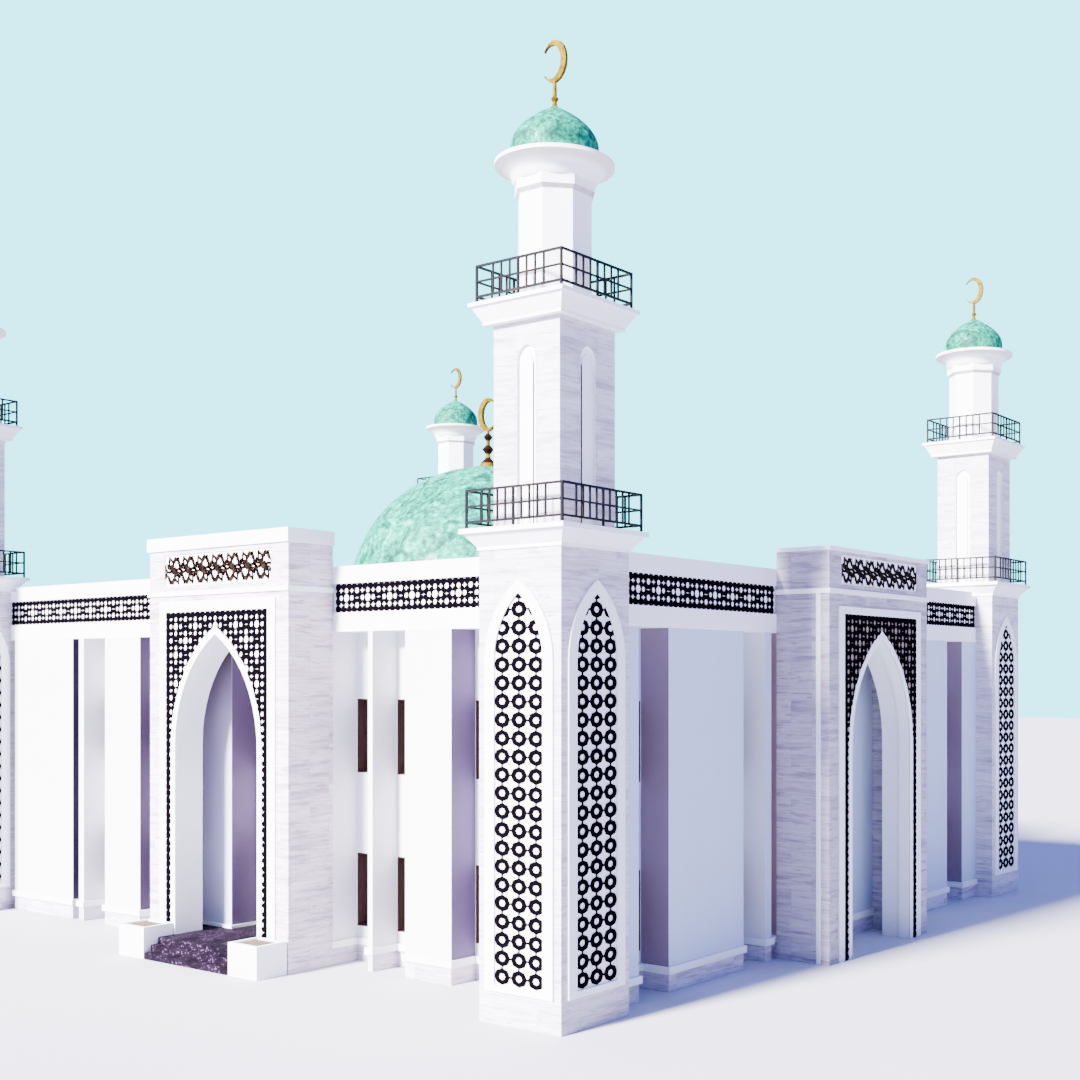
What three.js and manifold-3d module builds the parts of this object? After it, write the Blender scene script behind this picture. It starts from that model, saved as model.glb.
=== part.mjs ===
// Mosque building: a square hall with a central dome, four corner minarets and four portals.
// Lengths are millimetres, +Z is up, and the origin lies on the ground at the centre of the plan.
// The front faces -Y. Every facade is made as a front one and then turned about the Z axis.
import * as THREE from 'three';
import { mergeVertices } from 'three/addons/utils/BufferGeometryUtils.js';
import Module from 'manifold-3d';

const wasm = await Module();
wasm.setup();

// Small sizes shared by all the pieces
const GAP = 0.3;                 // clearance between two pieces that touch
const OVERLAP = 100;             // how far two solids run into each other before they are joined
const PAST = 50;                 // how far a cutting solid runs past the face that it opens
const ARC_STEPS = 5;             // straight steps in each half of a pointed arch
const CRESCENT_STEPS = 9;        // steps in each half of a crescent's outlines
const FACETS = 8;                // sides of a lantern

// Plan of the hall and the places of the minarets
const TOWER_X = 12000;
const TOWER_Y = 10800;
const WALL_THICKNESS = 350;

// Levels of the hall
const FLOOR_TOP = 500;
const UPPER_FLOOR = { bottom: 4100, top: 4380 };
const WALL_TOP = 8290;
const BEAM_TOP = 8950;
const ROOF_TOP = 9150;
const PARAPET_TOP = 9910;
const PARAPET_THICKNESS = 300;
const FRIEZE = { bottom: 8760, top: 9480, depth: 60 };
const MOULDING = { bottom: 410, top: 580, reach: 60 };

// Windows fill the recesses between the piers on two storeys
const WINDOW_ROWS = [{ bottom: 870, top: 2720 }, { bottom: 4750, top: 6620 }];
const WINDOW_INSET = 25;
const GLASS = { thickness: 30, rebate: 40, margin: 80 };

// Minaret, from the ground up
const SHAFT = { side: 2220, wall: 250, top: 9800, crown: 9600 };
const BALCONY = { fillet: 35, filletTop: 9870, side: 2840, lip: 60, lipBottom: 10140,
  top: 10240 };
const LATTICE_OPENING = { width: 1320, bottom: 830, spring: 7500, apex: 8900 };
const LATTICE_FRAME = { width: 1850, bottom: 690, spring: 7500, apex: 9170, reach: 50 };
const MIDDLE = { side: 1800, wall: 200, top: 14490, crown: 14300 };
const UPPER_BALCONY = { side: 2560, soffit: 2130, soffitTop: 14550, slope: 2470,
  lipBottom: 14860, top: 14940 };
const SLOT = { width: 500, spring: 13700, apex: 14000, depth: 70 };
const LANTERN = { flats: 1490, wall: 160, top: 17680, crown: 17780 };
const COLLAR = { radius: 880, bottom: 17200, slopeTop: 17280, top: 17500 };
const CAP = { sides: 24, top: 17950, soffit: [[840, 17480], [905, 17560], [930, 17640],
  [1000, 17710], [1100, 17770]], rim: [[1260, 17850], [1260, 17930]], bed: 960 };
const LOWER_RAIL = { side: 2640, height: 820, bar: 45, bays: 2, lowBar: 120 };
const UPPER_RAIL = { side: 2340, height: 800, bar: 45, bays: 2, lowBar: 120 };

// Domes stand upright up to the spring and then curve in. With power 1 the outline is round and
// with power 2 it is pointed, and the finial stands on a flat of the seat's radius
const CUPOLA = { radius: 930, shell: 60, bottom: CAP.top, spring: 18250, apex: 19170, seat: 90,
  power: 2, rings: 6, sides: 20 };
const DRUM = { outer: 4520, inner: 4200, top: 9500 };
const DOME = { radius: 4360, shell: 150, bottom: DRUM.top + GAP, spring: 9600, apex: 13900,
  seat: 290, power: 1, rings: 9, sides: 40 };

// Finials: a turned rod, given by its radius at each height above the seat, and a crescent
const CUPOLA_FINIAL = { rod: [[90, 0], [48, 60], [48, 130], [85, 190], [46, 250], [40, 566]],
  rodSides: 12, stemTop: 19660, tip: 20550, thickness: 70 };
const DOME_FINIAL = { rod: [[290, 0], [232, 160], [90, 300], [60, 420], [190, 590], [60, 740],
  [60, 860], [150, 990], [50, 1110], [40, 1220]],
  rodSides: 16, stemTop: 15060, tip: 16140, thickness: 110 };

// A crescent's width, and the oval cut out of it, as shares of its own height and width
const CRESCENT = { width: 0.74, bite: 0.8, shift: 0.24 };

// Portals
const PORTAL = { width: 5560, sideWall: 350, slab: 850, screen: 300, chamberTop: 8450 };
const COURSE = { bottom: 9260, top: 9380, reach: 50 };
const COPING_REACH = 60;
const SCREEN = { width: 4640, frame: 280, reach: 40, panelReach: 20 };
const ARCH = { width: 3300, spring: 5400 };
const ARCH_BAND = { width: 3660, spring: 5400 };
const ARCH_SETBACK = 160;
const INSCRIPTION = { width: 4300, depth: 30 };

// Front entrance
const DOORWAY = { width: 1900, top: 3000 };
const STEPS = { width: 3400, count: 3, tread: 210, reach: 920 };
const PLANTER = { width: 1070, height: 800, wall: 90, soil: 120 };

// Facades: the solids in front of the recessed wall, and the recesses that hold windows
const FRONT = {
  frieze: 9830, recess: 9030, half: 10890, end: 11400, returnTo: 9690,
  piers: [[-10640, -7480], [-7160, -6910], [-5840, -4140], [-1600, -40], [2380, 3930],
    [5220, 5380], [6510, 8030]],
  windows: [[-7480, -7160], [-6910, -5840], [-4140, -1600], [3930, 5220], [5380, 6510],
    [8030, 10770]],
  middle: [-40, 2380],
  portal: { centre: 1170, front: 11210, copingBottom: 10440, top: 10780,
    panelBottom: 9520, panelTop: 10330, screenTop: 9120, latticeTop: 8840, bandApex: 8470,
    archApex: 8250 },
};
const SIDE = {
  frieze: 12550, recess: 11750, half: 9690, end: 9690, returnTo: null,
  piers: [[-9690, -8600], [-7460, -4330], [-3320, -3030], [-2700, -1000], [1000, 2700],
    [3030, 3320], [4330, 7460], [8600, 9690]],
  windows: [[-8600, -7460], [-4330, -3320], [3320, 4330], [7460, 8600]],
  middle: [-1000, 1000],
  portal: { centre: 0, front: 14080, copingBottom: 10330, top: 10430,
    panelBottom: 9500, panelTop: 10240, screenTop: 8950, latticeTop: 8760, bandApex: 8370,
    archApex: 8150 },
};

// Finishes
const FINISH = {
  plaster: { color: 0xf4f4f6, roughness: 0.85, metalness: 0 },
  stone: { color: 0xd8d2d4, roughness: 0.7, metalness: 0 },
  glass: { color: 0x3a2a2c, roughness: 0.15, metalness: 0 },
  iron: { color: 0x2a2630, roughness: 0.5, metalness: 0.6 },
  tile: { color: 0x35a98c, roughness: 0.4, metalness: 0 },
  gold: { color: 0xd9a520, roughness: 0.3, metalness: 1 },
  granite: { color: 0x4a4350, roughness: 0.5, metalness: 0 },
  concrete: { color: 0xb9b9b9, roughness: 0.9, metalness: 0 },
};

const building = new THREE.Group();

// Solids and their joins

function solidOf(geometry) {
  const bare = geometry.clone();
  bare.deleteAttribute('normal');
  bare.deleteAttribute('uv');
  const merged = mergeVertices(bare, 1e-3);
  const vertProperties = new Float32Array(merged.attributes.position.array);
  const triVerts = new Uint32Array(merged.index.array);
  return new wasm.Manifold(new wasm.Mesh({ numProp: 3, vertProperties, triVerts }));
}

function join(solids) {
  return solids.reduce((whole, solid) => whole.add(solid));
}

function cut(solid, tools) {
  return tools.reduce((rest, tool) => rest.subtract(tool), solid);
}

function geometryOf(solid) {
  const mesh = solid.getMesh();
  const geometry = new THREE.BufferGeometry();
  const positions = new Float32Array(mesh.vertProperties);
  geometry.setAttribute('position', new THREE.BufferAttribute(positions, 3));
  geometry.setIndex(new THREE.BufferAttribute(new Uint32Array(mesh.triVerts), 1));
  geometry.computeVertexNormals();
  return geometry;
}

function place(name, solid, finish, parent = building) {
  const mesh = new THREE.Mesh(geometryOf(solid), new THREE.MeshStandardMaterial(FINISH[finish]));
  mesh.name = name;
  parent.add(mesh);
  return mesh;
}

// Plain shapes

function box(x0, x1, y0, y1, z0, z1) {
  const geometry = new THREE.BoxGeometry(x1 - x0, y1 - y0, z1 - z0);
  geometry.translate((x0 + x1) / 2, (y0 + y1) / 2, (z0 + z1) / 2);
  return solidOf(geometry);
}

// A block of a facade: x runs along it, and the two depths are distances from the plan's centre
function block(x0, x1, depth0, depth1, z0, z1) {
  return box(x0, x1, -depth1, -depth0, z0, z1);
}

function square(side, z0, z1) {
  return box(-side / 2, side / 2, -side / 2, side / 2, z0, z1);
}

function turned(profile, sides, turn = 0) {
  const points = profile.map(([radius, z]) => new THREE.Vector2(radius, z));
  const geometry = new THREE.LatheGeometry(points, sides);
  geometry.rotateX(Math.PI / 2);
  geometry.rotateZ(turn);
  const solid = solidOf(geometry);
  return solid.volume() > 0 ? solid : solidOf(flipped(geometry));
}

function flipped(geometry) {
  const copy = geometry.clone();
  const index = Array.from(copy.index.array);
  for (let i = 0; i < index.length; i += 3) {
    [index[i], index[i + 1]] = [index[i + 1], index[i]];
  }
  copy.setIndex(index);
  return copy;
}

// A square moulding: the profile gives half the side at each level
function squareMoulding(profile) {
  const corners = profile.map(([half, z]) => [half * Math.SQRT2, z]);
  return turned(corners, 4, Math.PI / 4);
}

// A pointed arch standing on its own width, drawn with two arcs that meet at the apex
function archShape({ width, bottom, spring, apex }) {
  const half = width / 2;
  const rise = apex - spring;
  const offset = (rise * rise - half * half) / (2 * half);
  const radius = half + offset;
  const lean = Math.atan2(rise, offset);
  const shape = new THREE.Shape();
  shape.moveTo(-half, bottom);
  shape.lineTo(half, bottom);
  shape.absarc(-offset, spring, radius, 0, lean, false);
  shape.absarc(offset, spring, radius, Math.PI - lean, Math.PI, false);
  shape.closePath();
  return shape;
}

// An outline in x and z pushed along y from one depth to another on the front side
function pushed(shape, depth0, depth1) {
  const options = { depth: depth1 - depth0, bevelEnabled: false, curveSegments: ARC_STEPS };
  const geometry = new THREE.ExtrudeGeometry(shape, options);
  geometry.rotateX(Math.PI / 2);
  geometry.translate(0, -depth0, 0);
  return solidOf(geometry);
}

function archBlock(arch, depth0, depth1) {
  return pushed(archShape(arch), depth0, depth1);
}

// Minarets

function onEachSide(turns, make) {
  return turns.map((quarter) => make().rotate([0, 0, 90 * quarter]));
}

function latticeFrame() {
  const half = SHAFT.side / 2;
  const frame = archBlock(LATTICE_FRAME, half - OVERLAP, half + LATTICE_FRAME.reach);
  const opening = archBlock(LATTICE_OPENING, half - OVERLAP - PAST,
    half + LATTICE_FRAME.reach + PAST);
  return cut(frame, [opening]);
}

function towerShaft(panelSides) {
  const half = SHAFT.side / 2;
  const lip = BALCONY.side / 2;
  const fillet = half + BALCONY.fillet;
  const core = squareMoulding([[0, 0], [half, 0], [half, SHAFT.top], [fillet, SHAFT.top],
    [fillet, BALCONY.filletTop], [lip - BALCONY.lip, BALCONY.lipBottom],
    [lip, BALCONY.lipBottom], [lip, BALCONY.top], [0, BALCONY.top]]);
  const body = join([core, ...onEachSide(panelSides, latticeFrame)]);
  const well = square(SHAFT.side - 2 * SHAFT.wall, -PAST, SHAFT.crown);
  return cut(body, [well]);
}

function slotCut() {
  const half = MIDDLE.side / 2;
  const slot = { ...SLOT, bottom: BALCONY.top - PAST };
  return archBlock(slot, half - SLOT.depth, half + PAST);
}

function towerMiddle() {
  const half = MIDDLE.side / 2;
  const soffit = UPPER_BALCONY.soffit / 2;
  const lip = UPPER_BALCONY.side / 2;
  const foot = BALCONY.top + GAP;
  const body = squareMoulding([[0, foot], [half, foot], [half, MIDDLE.top], [soffit, MIDDLE.top],
    [soffit, UPPER_BALCONY.soffitTop], [UPPER_BALCONY.slope / 2, UPPER_BALCONY.lipBottom],
    [lip, UPPER_BALCONY.lipBottom], [lip, UPPER_BALCONY.top], [0, UPPER_BALCONY.top]]);
  const well = square(MIDDLE.side - 2 * MIDDLE.wall, BALCONY.top - PAST, MIDDLE.crown);
  return cut(body, [well, ...onEachSide([0, 1, 2, 3], slotCut)]);
}

function towerLantern() {
  const halfFacet = Math.PI / FACETS;
  const outer = LANTERN.flats / 2 / Math.cos(halfFacet);
  const inner = (LANTERN.flats / 2 - LANTERN.wall) / Math.cos(halfFacet);
  const foot = UPPER_BALCONY.top + GAP;
  const column = turned([[0, foot], [outer, foot], [outer, LANTERN.top], [0, LANTERN.top]],
    FACETS, halfFacet);
  const collar = turned([[0, COLLAR.bottom], [outer, COLLAR.bottom],
    [COLLAR.radius, COLLAR.slopeTop], [COLLAR.radius, COLLAR.top], [0, COLLAR.top]],
    FACETS, halfFacet);
  const cap = turned([[0, CAP.soffit[0][1]], ...CAP.soffit, ...CAP.rim,
    [CAP.bed, CAP.top - GAP], [0, CAP.top - GAP]], CAP.sides);
  const well = turned([[0, foot - PAST], [inner, foot - PAST], [inner, LANTERN.crown],
    [0, LANTERN.crown]], FACETS, halfFacet);
  return cut(join([column, collar, cap]), [well]);
}

// The angle above a dome's foot at which its outline has come in to the seat
function seatAngle({ radius, seat, power }) {
  return Math.acos((seat / radius) ** (1 / power));
}

function seatLevel(dome) {
  return dome.spring + (dome.apex - dome.spring) * Math.sin(seatAngle(dome));
}

// A dome shell: up the outside to the flat seat, and back down the inside
function domeShell(dome) {
  const { radius, shell, bottom, spring, apex, power, rings, sides } = dome;
  const height = apex - spring;
  const outside = [[radius, bottom]];
  const inside = [[radius - shell, bottom]];
  for (let ring = 0; ring <= rings; ring += 1) {
    const angle = (ring / rings) * seatAngle(dome);
    const across = Math.cos(angle) ** power;
    outside.push([radius * across, spring + height * Math.sin(angle)]);
    inside.push([(radius - shell) * across, spring + (height - shell) * Math.sin(angle)]);
  }
  outside.push([0, outside.at(-1)[1]]);
  inside.push([0, inside.at(-1)[1]]);
  return turned([...outside, ...inside.reverse(), outside[0]], sides);
}

// A crescent in the plane of x and z: an oval with a smaller one cut out near its rim
function crescent({ stemTop, tip, thickness }, openSide) {
  const height = (tip - stemTop) / 2;
  const width = height * CRESCENT.width;
  const centre = stemTop + height;
  const bite = oval(openSide * width * CRESCENT.shift, centre, width * CRESCENT.bite,
    height * CRESCENT.bite);
  return pushedRound(oval(0, centre, width, height), thickness)
    .subtract(pushedRound(bite, thickness + 2 * PAST));
}

function oval(x, z, halfWidth, halfHeight) {
  const shape = new THREE.Shape();
  shape.absellipse(x, z, halfWidth, halfHeight, 0, 2 * Math.PI, false, 0);
  return shape;
}

function pushedRound(shape, thickness) {
  const options = { depth: thickness, bevelEnabled: false, curveSegments: CRESCENT_STEPS };
  const geometry = new THREE.ExtrudeGeometry(shape, options);
  geometry.rotateX(Math.PI / 2);
  geometry.translate(0, thickness / 2, 0);
  return solidOf(geometry);
}

function finial(dimensions, dome, openSide) {
  const seat = seatLevel(dome) + GAP;
  const outline = dimensions.rod.map(([radius, height]) => [radius, seat + height]);
  const rodTop = outline.at(-1)[1];
  const rod = turned([[0, seat], ...outline, [0, rodTop]], dimensions.rodSides);
  return join([rod, crescent(dimensions, openSide)]);
}

// A square railing: two rings of bar and the upright posts that join them
function railing({ side, height, bar, bays, lowBar }, bottom) {
  const half = side / 2;
  const levels = [bottom + lowBar, bottom + height - bar];
  const rings = levels.map((z) => cut(square(side, z, z + bar),
    [square(side - 2 * bar, z - PAST, z + bar + PAST)]));
  const pitch = (side - bar) / bays;
  const uprights = [];
  for (let post = 0; post < bays; post += 1) {
    const x = -half + post * pitch;
    uprights.push(box(x, x + bar, -half, -half + bar, bottom + GAP, bottom + height));
  }
  const around = [0, 1, 2, 3].flatMap((quarter) => uprights.map(
    (upright) => upright.rotate([0, 0, 90 * quarter])));
  return join([...rings, ...around]);
}

function addTower(name, signX, signY) {
  const tower = new THREE.Group();
  tower.position.set(signX * TOWER_X, signY * TOWER_Y, 0);
  const outerFace = signY < 0 ? 0 : 2;
  place(`${name}_tower_shaft`, towerShaft([outerFace, 1, 3]), 'stone', tower);
  place(`${name}_tower_middle`, towerMiddle(), 'stone', tower);
  place(`${name}_lantern`, towerLantern(), 'plaster', tower);
  place(`${name}_cupola`, domeShell(CUPOLA), 'tile', tower);
  place(`${name}_crescent`, finial(CUPOLA_FINIAL, CUPOLA, -1), 'gold', tower);
  place(`${name}_lower_railing`, railing(LOWER_RAIL, BALCONY.top), 'iron', tower);
  place(`${name}_upper_railing`, railing(UPPER_RAIL, UPPER_BALCONY.top), 'iron', tower);
  building.add(tower);
}

// Facades

function clamp(value, limit) {
  return Math.max(-limit, Math.min(limit, value));
}

function doorCut(facade) {
  const { centre } = facade.portal;
  return block(centre - DOORWAY.width / 2, centre + DOORWAY.width / 2,
    facade.recess - WALL_THICKNESS - PAST, facade.recess + 2 * MOULDING.reach,
    FLOOR_TOP, DOORWAY.top);
}

function wallSolid(facade, hasDoor) {
  const inner = facade.recess - WALL_THICKNESS;
  const end = facade.end - GAP;
  const top = WALL_TOP - GAP;
  const limit = facade.half - GAP;
  const band = [MOULDING.bottom, MOULDING.top];
  const solids = [block(-end, end, inner, facade.recess, 0, top),
    block(-end, end, facade.recess - OVERLAP, facade.recess + MOULDING.reach, ...band)];
  for (const [left, right] of facade.piers) {
    const a = clamp(left, limit);
    const b = clamp(right, limit);
    solids.push(block(a, b, facade.recess - OVERLAP, facade.frieze, 0, top));
    solids.push(block(clamp(a - MOULDING.reach, limit), clamp(b + MOULDING.reach, limit),
      facade.recess - OVERLAP, facade.frieze + MOULDING.reach, ...band));
  }
  if (facade.returnTo) {
    for (const side of [-1, 1]) {
      const [a, b] = [side * (facade.half + GAP), side * end].sort((p, q) => p - q);
      solids.push(block(a, b, facade.recess - OVERLAP, facade.returnTo - GAP, 0, top));
    }
  }
  return cut(join(solids), [...windowCuts(facade, hasDoor), rebate(facade, 0),
    ...portalSeats(facade)]);
}

// The wall with the doorway is made in four parts that meet at the sides of the doorway: the
// two bays beside it, the block over the door, and the block over the window above that
function doorWallParts(facade) {
  const whole = wallSolid(facade, true);
  const { centre } = facade.portal;
  const [doorLeft, doorRight] = [centre - DOORWAY.width / 2, centre + DOORWAY.width / 2];
  const [, upper] = WINDOW_ROWS;
  const [near, far] = [facade.recess - WALL_THICKNESS - PAST, facade.frieze + 2 * MOULDING.reach];
  const part = (x0, x1, z0, z1) => whole.intersect(block(x0, x1, near, far, z0, z1));
  return {
    wall_left: part(-facade.end, doorLeft - GAP, -PAST, WALL_TOP),
    wall_right: part(doorRight + GAP, facade.end, -PAST, WALL_TOP),
    door_head: part(doorLeft, doorRight, DOORWAY.top, upper.bottom + PAST),
    window_head: part(doorLeft, doorRight, upper.top - PAST, WALL_TOP),
  };
}

// The moulding stops where the side walls of the portal stand against the piers
function portalSeats(facade) {
  const outer = PORTAL.width / 2 + GAP;
  const inner = PORTAL.width / 2 - PORTAL.sideWall - GAP;
  const { centre } = facade.portal;
  return [[centre - outer, centre - inner], [centre + inner, centre + outer]].map(
    ([left, right]) => block(left, right, facade.frieze, facade.frieze + PAST + MOULDING.reach,
      MOULDING.bottom - PAST, MOULDING.top + PAST));
}

// The recess behind a portal has the doorway or a lower window, and an upper window
function windowCuts(facade, hasDoor) {
  const pairs = facade.windows.flatMap((span) => WINDOW_ROWS.map((row) => [span, row]));
  const [lower, upper] = WINDOW_ROWS;
  pairs.push([facade.middle, upper]);
  const cuts = hasDoor ? [doorCut(facade)] : [];
  if (!hasDoor) {
    pairs.push([facade.middle, lower]);
  }
  const inner = facade.recess - WALL_THICKNESS;
  return cuts.concat(pairs.map(([[left, right], row]) => block(left + WINDOW_INSET,
    right - WINDOW_INSET, inner - PAST, facade.recess + PAST, row.bottom, row.top)));
}

// The rebate on the inside of a wall that takes the glass, or with a shrink the glass itself
function rebate(facade, shrink) {
  const inner = facade.recess - WALL_THICKNESS;
  const left = facade.windows[0][0] - GLASS.margin + shrink;
  const right = facade.windows.at(-1)[1] + GLASS.margin - shrink;
  const bottom = WINDOW_ROWS[0].bottom - GLASS.margin + shrink;
  const top = WINDOW_ROWS[1].top + GLASS.margin - shrink;
  const [near, far] = shrink ? [inner + GLASS.rebate - GLASS.thickness, inner + GLASS.rebate - GAP]
    : [inner - PAST, inner + GLASS.rebate];
  return block(left, right, near, far, bottom, top);
}

function glazing(facade, hasDoor) {
  const sheet = rebate(facade, 1);
  return hasDoor ? sheet.subtract(doorCut(facade)) : sheet;
}

// The beam over the piers with its frieze groove and the parapet that stands on its outer edge
function parapetSection(facade) {
  const inner = facade.recess - WALL_THICKNESS;
  const { frieze } = facade;
  const points = [[inner, WALL_TOP], [frieze, WALL_TOP], [frieze, FRIEZE.bottom],
    [frieze - FRIEZE.depth, FRIEZE.bottom], [frieze - FRIEZE.depth, FRIEZE.top],
    [frieze, FRIEZE.top], [frieze, PARAPET_TOP], [frieze - PARAPET_THICKNESS, PARAPET_TOP],
    [frieze - PARAPET_THICKNESS, BEAM_TOP], [inner, BEAM_TOP]];
  return new THREE.Shape(points.map(([depth, z]) => new THREE.Vector2(-depth, z)).reverse());
}

// An outline in y and z pushed along x over the whole length of the facade
function pushedAlong(shape, half) {
  const geometry = new THREE.ExtrudeGeometry(shape, { depth: 2 * half, bevelEnabled: false });
  geometry.rotateX(Math.PI / 2);
  geometry.rotateZ(Math.PI / 2);
  geometry.translate(-half, 0, 0);
  return solidOf(geometry);
}

function parapet(facade) {
  const inner = facade.recess - WALL_THICKNESS;
  const limit = facade.half - GAP;
  const solids = [pushedAlong(parapetSection(facade), limit)];
  const corbel = (BALCONY.side - SHAFT.side) / 2 + GAP;
  const ends = [];
  for (const side of [-1, 1]) {
    const across = (x0, x1) => [side * x0, side * x1].sort((p, q) => p - q);
    ends.push(block(...across(limit - corbel, limit + PAST), inner - PAST, facade.frieze + PAST,
      SHAFT.top - GAP, PARAPET_TOP + PAST));
    if (facade.returnTo) {
      solids.push(block(...across(limit - OVERLAP, facade.end - GAP), inner,
        facade.returnTo - GAP, WALL_TOP, BEAM_TOP));
    }
  }
  return cut(join(solids), ends);
}

function portalBody(facade) {
  const { front, copingBottom, top, panelBottom, panelTop, screenTop, archApex } = facade.portal;
  const back = facade.frieze + GAP;
  const half = PORTAL.width / 2;
  const slabBack = front - PORTAL.slab;
  const screenBack = front - PORTAL.screen - GAP;
  const body = join([block(-half, half, back, front, 0, top - OVERLAP / 2),
    block(-half - COURSE.reach, half + COURSE.reach, back, front + COURSE.reach,
      COURSE.bottom, COURSE.top),
    block(-half - COPING_REACH, half + COPING_REACH, back, front + COPING_REACH,
      copingBottom, top)]);
  const room = half - PORTAL.sideWall;
  const archHole = { ...ARCH, width: ARCH.width + ARCH_SETBACK, bottom: -PAST, apex: archApex };
  return cut(body, [
    block(-room, room, back - PAST, slabBack, -PAST, PORTAL.chamberTop),
    archBlock(archHole, slabBack - PAST, front),
    block(-SCREEN.width / 2 - GAP, SCREEN.width / 2 + GAP, screenBack, front + PAST,
      -PAST, screenTop + GAP),
    block(-INSCRIPTION.width / 2, INSCRIPTION.width / 2, front - INSCRIPTION.depth, front + PAST,
      panelBottom, panelTop)]);
}

// The screen of a portal: a frame, the band round the arch, and the panel between them
function portalScreen(facade) {
  const { front, screenTop, latticeTop, bandApex, archApex } = facade.portal;
  const half = SCREEN.width / 2;
  const back = front - PORTAL.screen;
  const frame = cut(block(-half, half, back, front + SCREEN.reach, 0, screenTop),
    [block(-half + SCREEN.frame, half - SCREEN.frame, back - PAST, front + PAST,
      -PAST, latticeTop)]);
  const panel = block(-half + OVERLAP, half - OVERLAP, back, front + SCREEN.panelReach, 0,
    screenTop - OVERLAP);
  const band = archBlock({ ...ARCH_BAND, bottom: 0, apex: bandApex }, back,
    front + SCREEN.reach);
  const hole = archBlock({ ...ARCH, bottom: -PAST, apex: archApex }, back - PAST,
    front + PAST + SCREEN.reach);
  return cut(join([frame, panel, band]), [hole]);
}

function addFacade(name, facade, quarter, mirrored) {
  const layout = mirrored ? mirroredLayout(facade) : facade;
  const hasDoor = name === 'front';
  const centred = (solid) => solid.translate([layout.portal.centre, 0, 0]);
  const put = (piece, solid, finish) => place(`${name}_${piece}`,
    solid.rotate([0, 0, 90 * quarter]), finish);
  const walls = hasDoor ? doorWallParts(layout) : { wall: wallSolid(layout, false) };
  for (const [piece, solid] of Object.entries(walls)) {
    put(piece, solid, 'plaster');
  }
  put('glazing', glazing(layout, hasDoor), 'glass');
  put('parapet', parapet(layout), 'plaster');
  put('portal', centred(portalBody(layout)), 'stone');
  put('portal_screen', centred(portalScreen(layout)), 'plaster');
}

function mirroredLayout(facade) {
  const swap = (spans) => spans.map(([left, right]) => [-right, -left]).reverse();
  const portal = { ...facade.portal, centre: -facade.portal.centre };
  const [middle] = swap([facade.middle]);
  return { ...facade, piers: swap(facade.piers), windows: swap(facade.windows), middle, portal };
}

// Hall

function floorSlab() {
  const x = SIDE.recess - WALL_THICKNESS - GAP;
  const y = FRONT.recess - WALL_THICKNESS - GAP;
  return box(-x, x, -y, y, 0, FLOOR_TOP);
}

function roundHole(radius, z0, z1) {
  return turned([[0, z0], [radius, z0], [radius, z1], [0, z1]], DOME.sides);
}

function upperFloor() {
  const x = SIDE.recess - WALL_THICKNESS - GAP;
  const y = FRONT.recess - WALL_THICKNESS - GAP;
  const { bottom, top } = UPPER_FLOOR;
  return box(-x, x, -y, y, bottom, top).subtract(roundHole(DRUM.inner, bottom - PAST, top + PAST));
}

function roofSlab() {
  const x = SIDE.frieze - PARAPET_THICKNESS - GAP;
  const y = FRONT.frieze - PARAPET_THICKNESS - GAP;
  const bottom = BEAM_TOP + GAP;
  return box(-x, x, -y, y, bottom, ROOF_TOP)
    .subtract(roundHole(DRUM.inner, bottom - PAST, ROOF_TOP + PAST));
}

function domeDrum() {
  const bottom = ROOF_TOP + GAP;
  return turned([[DRUM.inner, bottom], [DRUM.outer, bottom], [DRUM.outer, DRUM.top],
    [DRUM.inner, DRUM.top], [DRUM.inner, bottom]], DOME.sides);
}

// Front entrance

function entranceSteps() {
  const { centre, front } = FRONT.portal;
  const rise = FLOOR_TOP / STEPS.count;
  const half = STEPS.width / 2 - GAP;
  const solids = [];
  for (let step = 0; step < STEPS.count; step += 1) {
    const edge = front + STEPS.reach - step * STEPS.tread;
    solids.push(block(-half, half, front + SCREEN.reach + GAP, edge, 0, (step + 1) * rise));
  }
  const passage = ARCH.width / 2 - GAP;
  const slabBack = front - PORTAL.slab;
  const room = PORTAL.width / 2 - PORTAL.sideWall - GAP;
  const clearOfPier = FRONT.frieze + MOULDING.reach + GAP;
  const clearOfWall = FRONT.recess + MOULDING.reach + GAP;
  const recessHalf = (FRONT.middle[1] - FRONT.middle[0]) / 2 - MOULDING.reach - GAP;
  solids.push(block(-passage, passage, slabBack - OVERLAP, front + OVERLAP, 0, FLOOR_TOP));
  solids.push(block(-room, room, clearOfPier, slabBack - GAP, 0, FLOOR_TOP));
  const threshold = DOORWAY.width / 2 - GAP;
  solids.push(block(-recessHalf, recessHalf, clearOfWall, clearOfPier + OVERLAP, 0, FLOOR_TOP));
  solids.push(block(-threshold, threshold, FRONT.recess - WALL_THICKNESS, clearOfWall + OVERLAP,
    0, FLOOR_TOP));
  return join(solids).translate([centre, 0, 0]);
}

function planter(side) {
  const { centre, front } = FRONT.portal;
  const inside = STEPS.width / 2 + GAP;
  const [a, b] = [side * inside, side * (inside + PLANTER.width)].sort((p, q) => p - q);
  const near = front + GAP + SCREEN.reach;
  const far = front + STEPS.reach;
  const { wall, height, soil } = PLANTER;
  const trough = block(a + wall, b - wall, near + wall, far - wall, height - soil, height + PAST);
  return block(a, b, near, far, 0, height).subtract(trough).translate([centre, 0, 0]);
}

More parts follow.
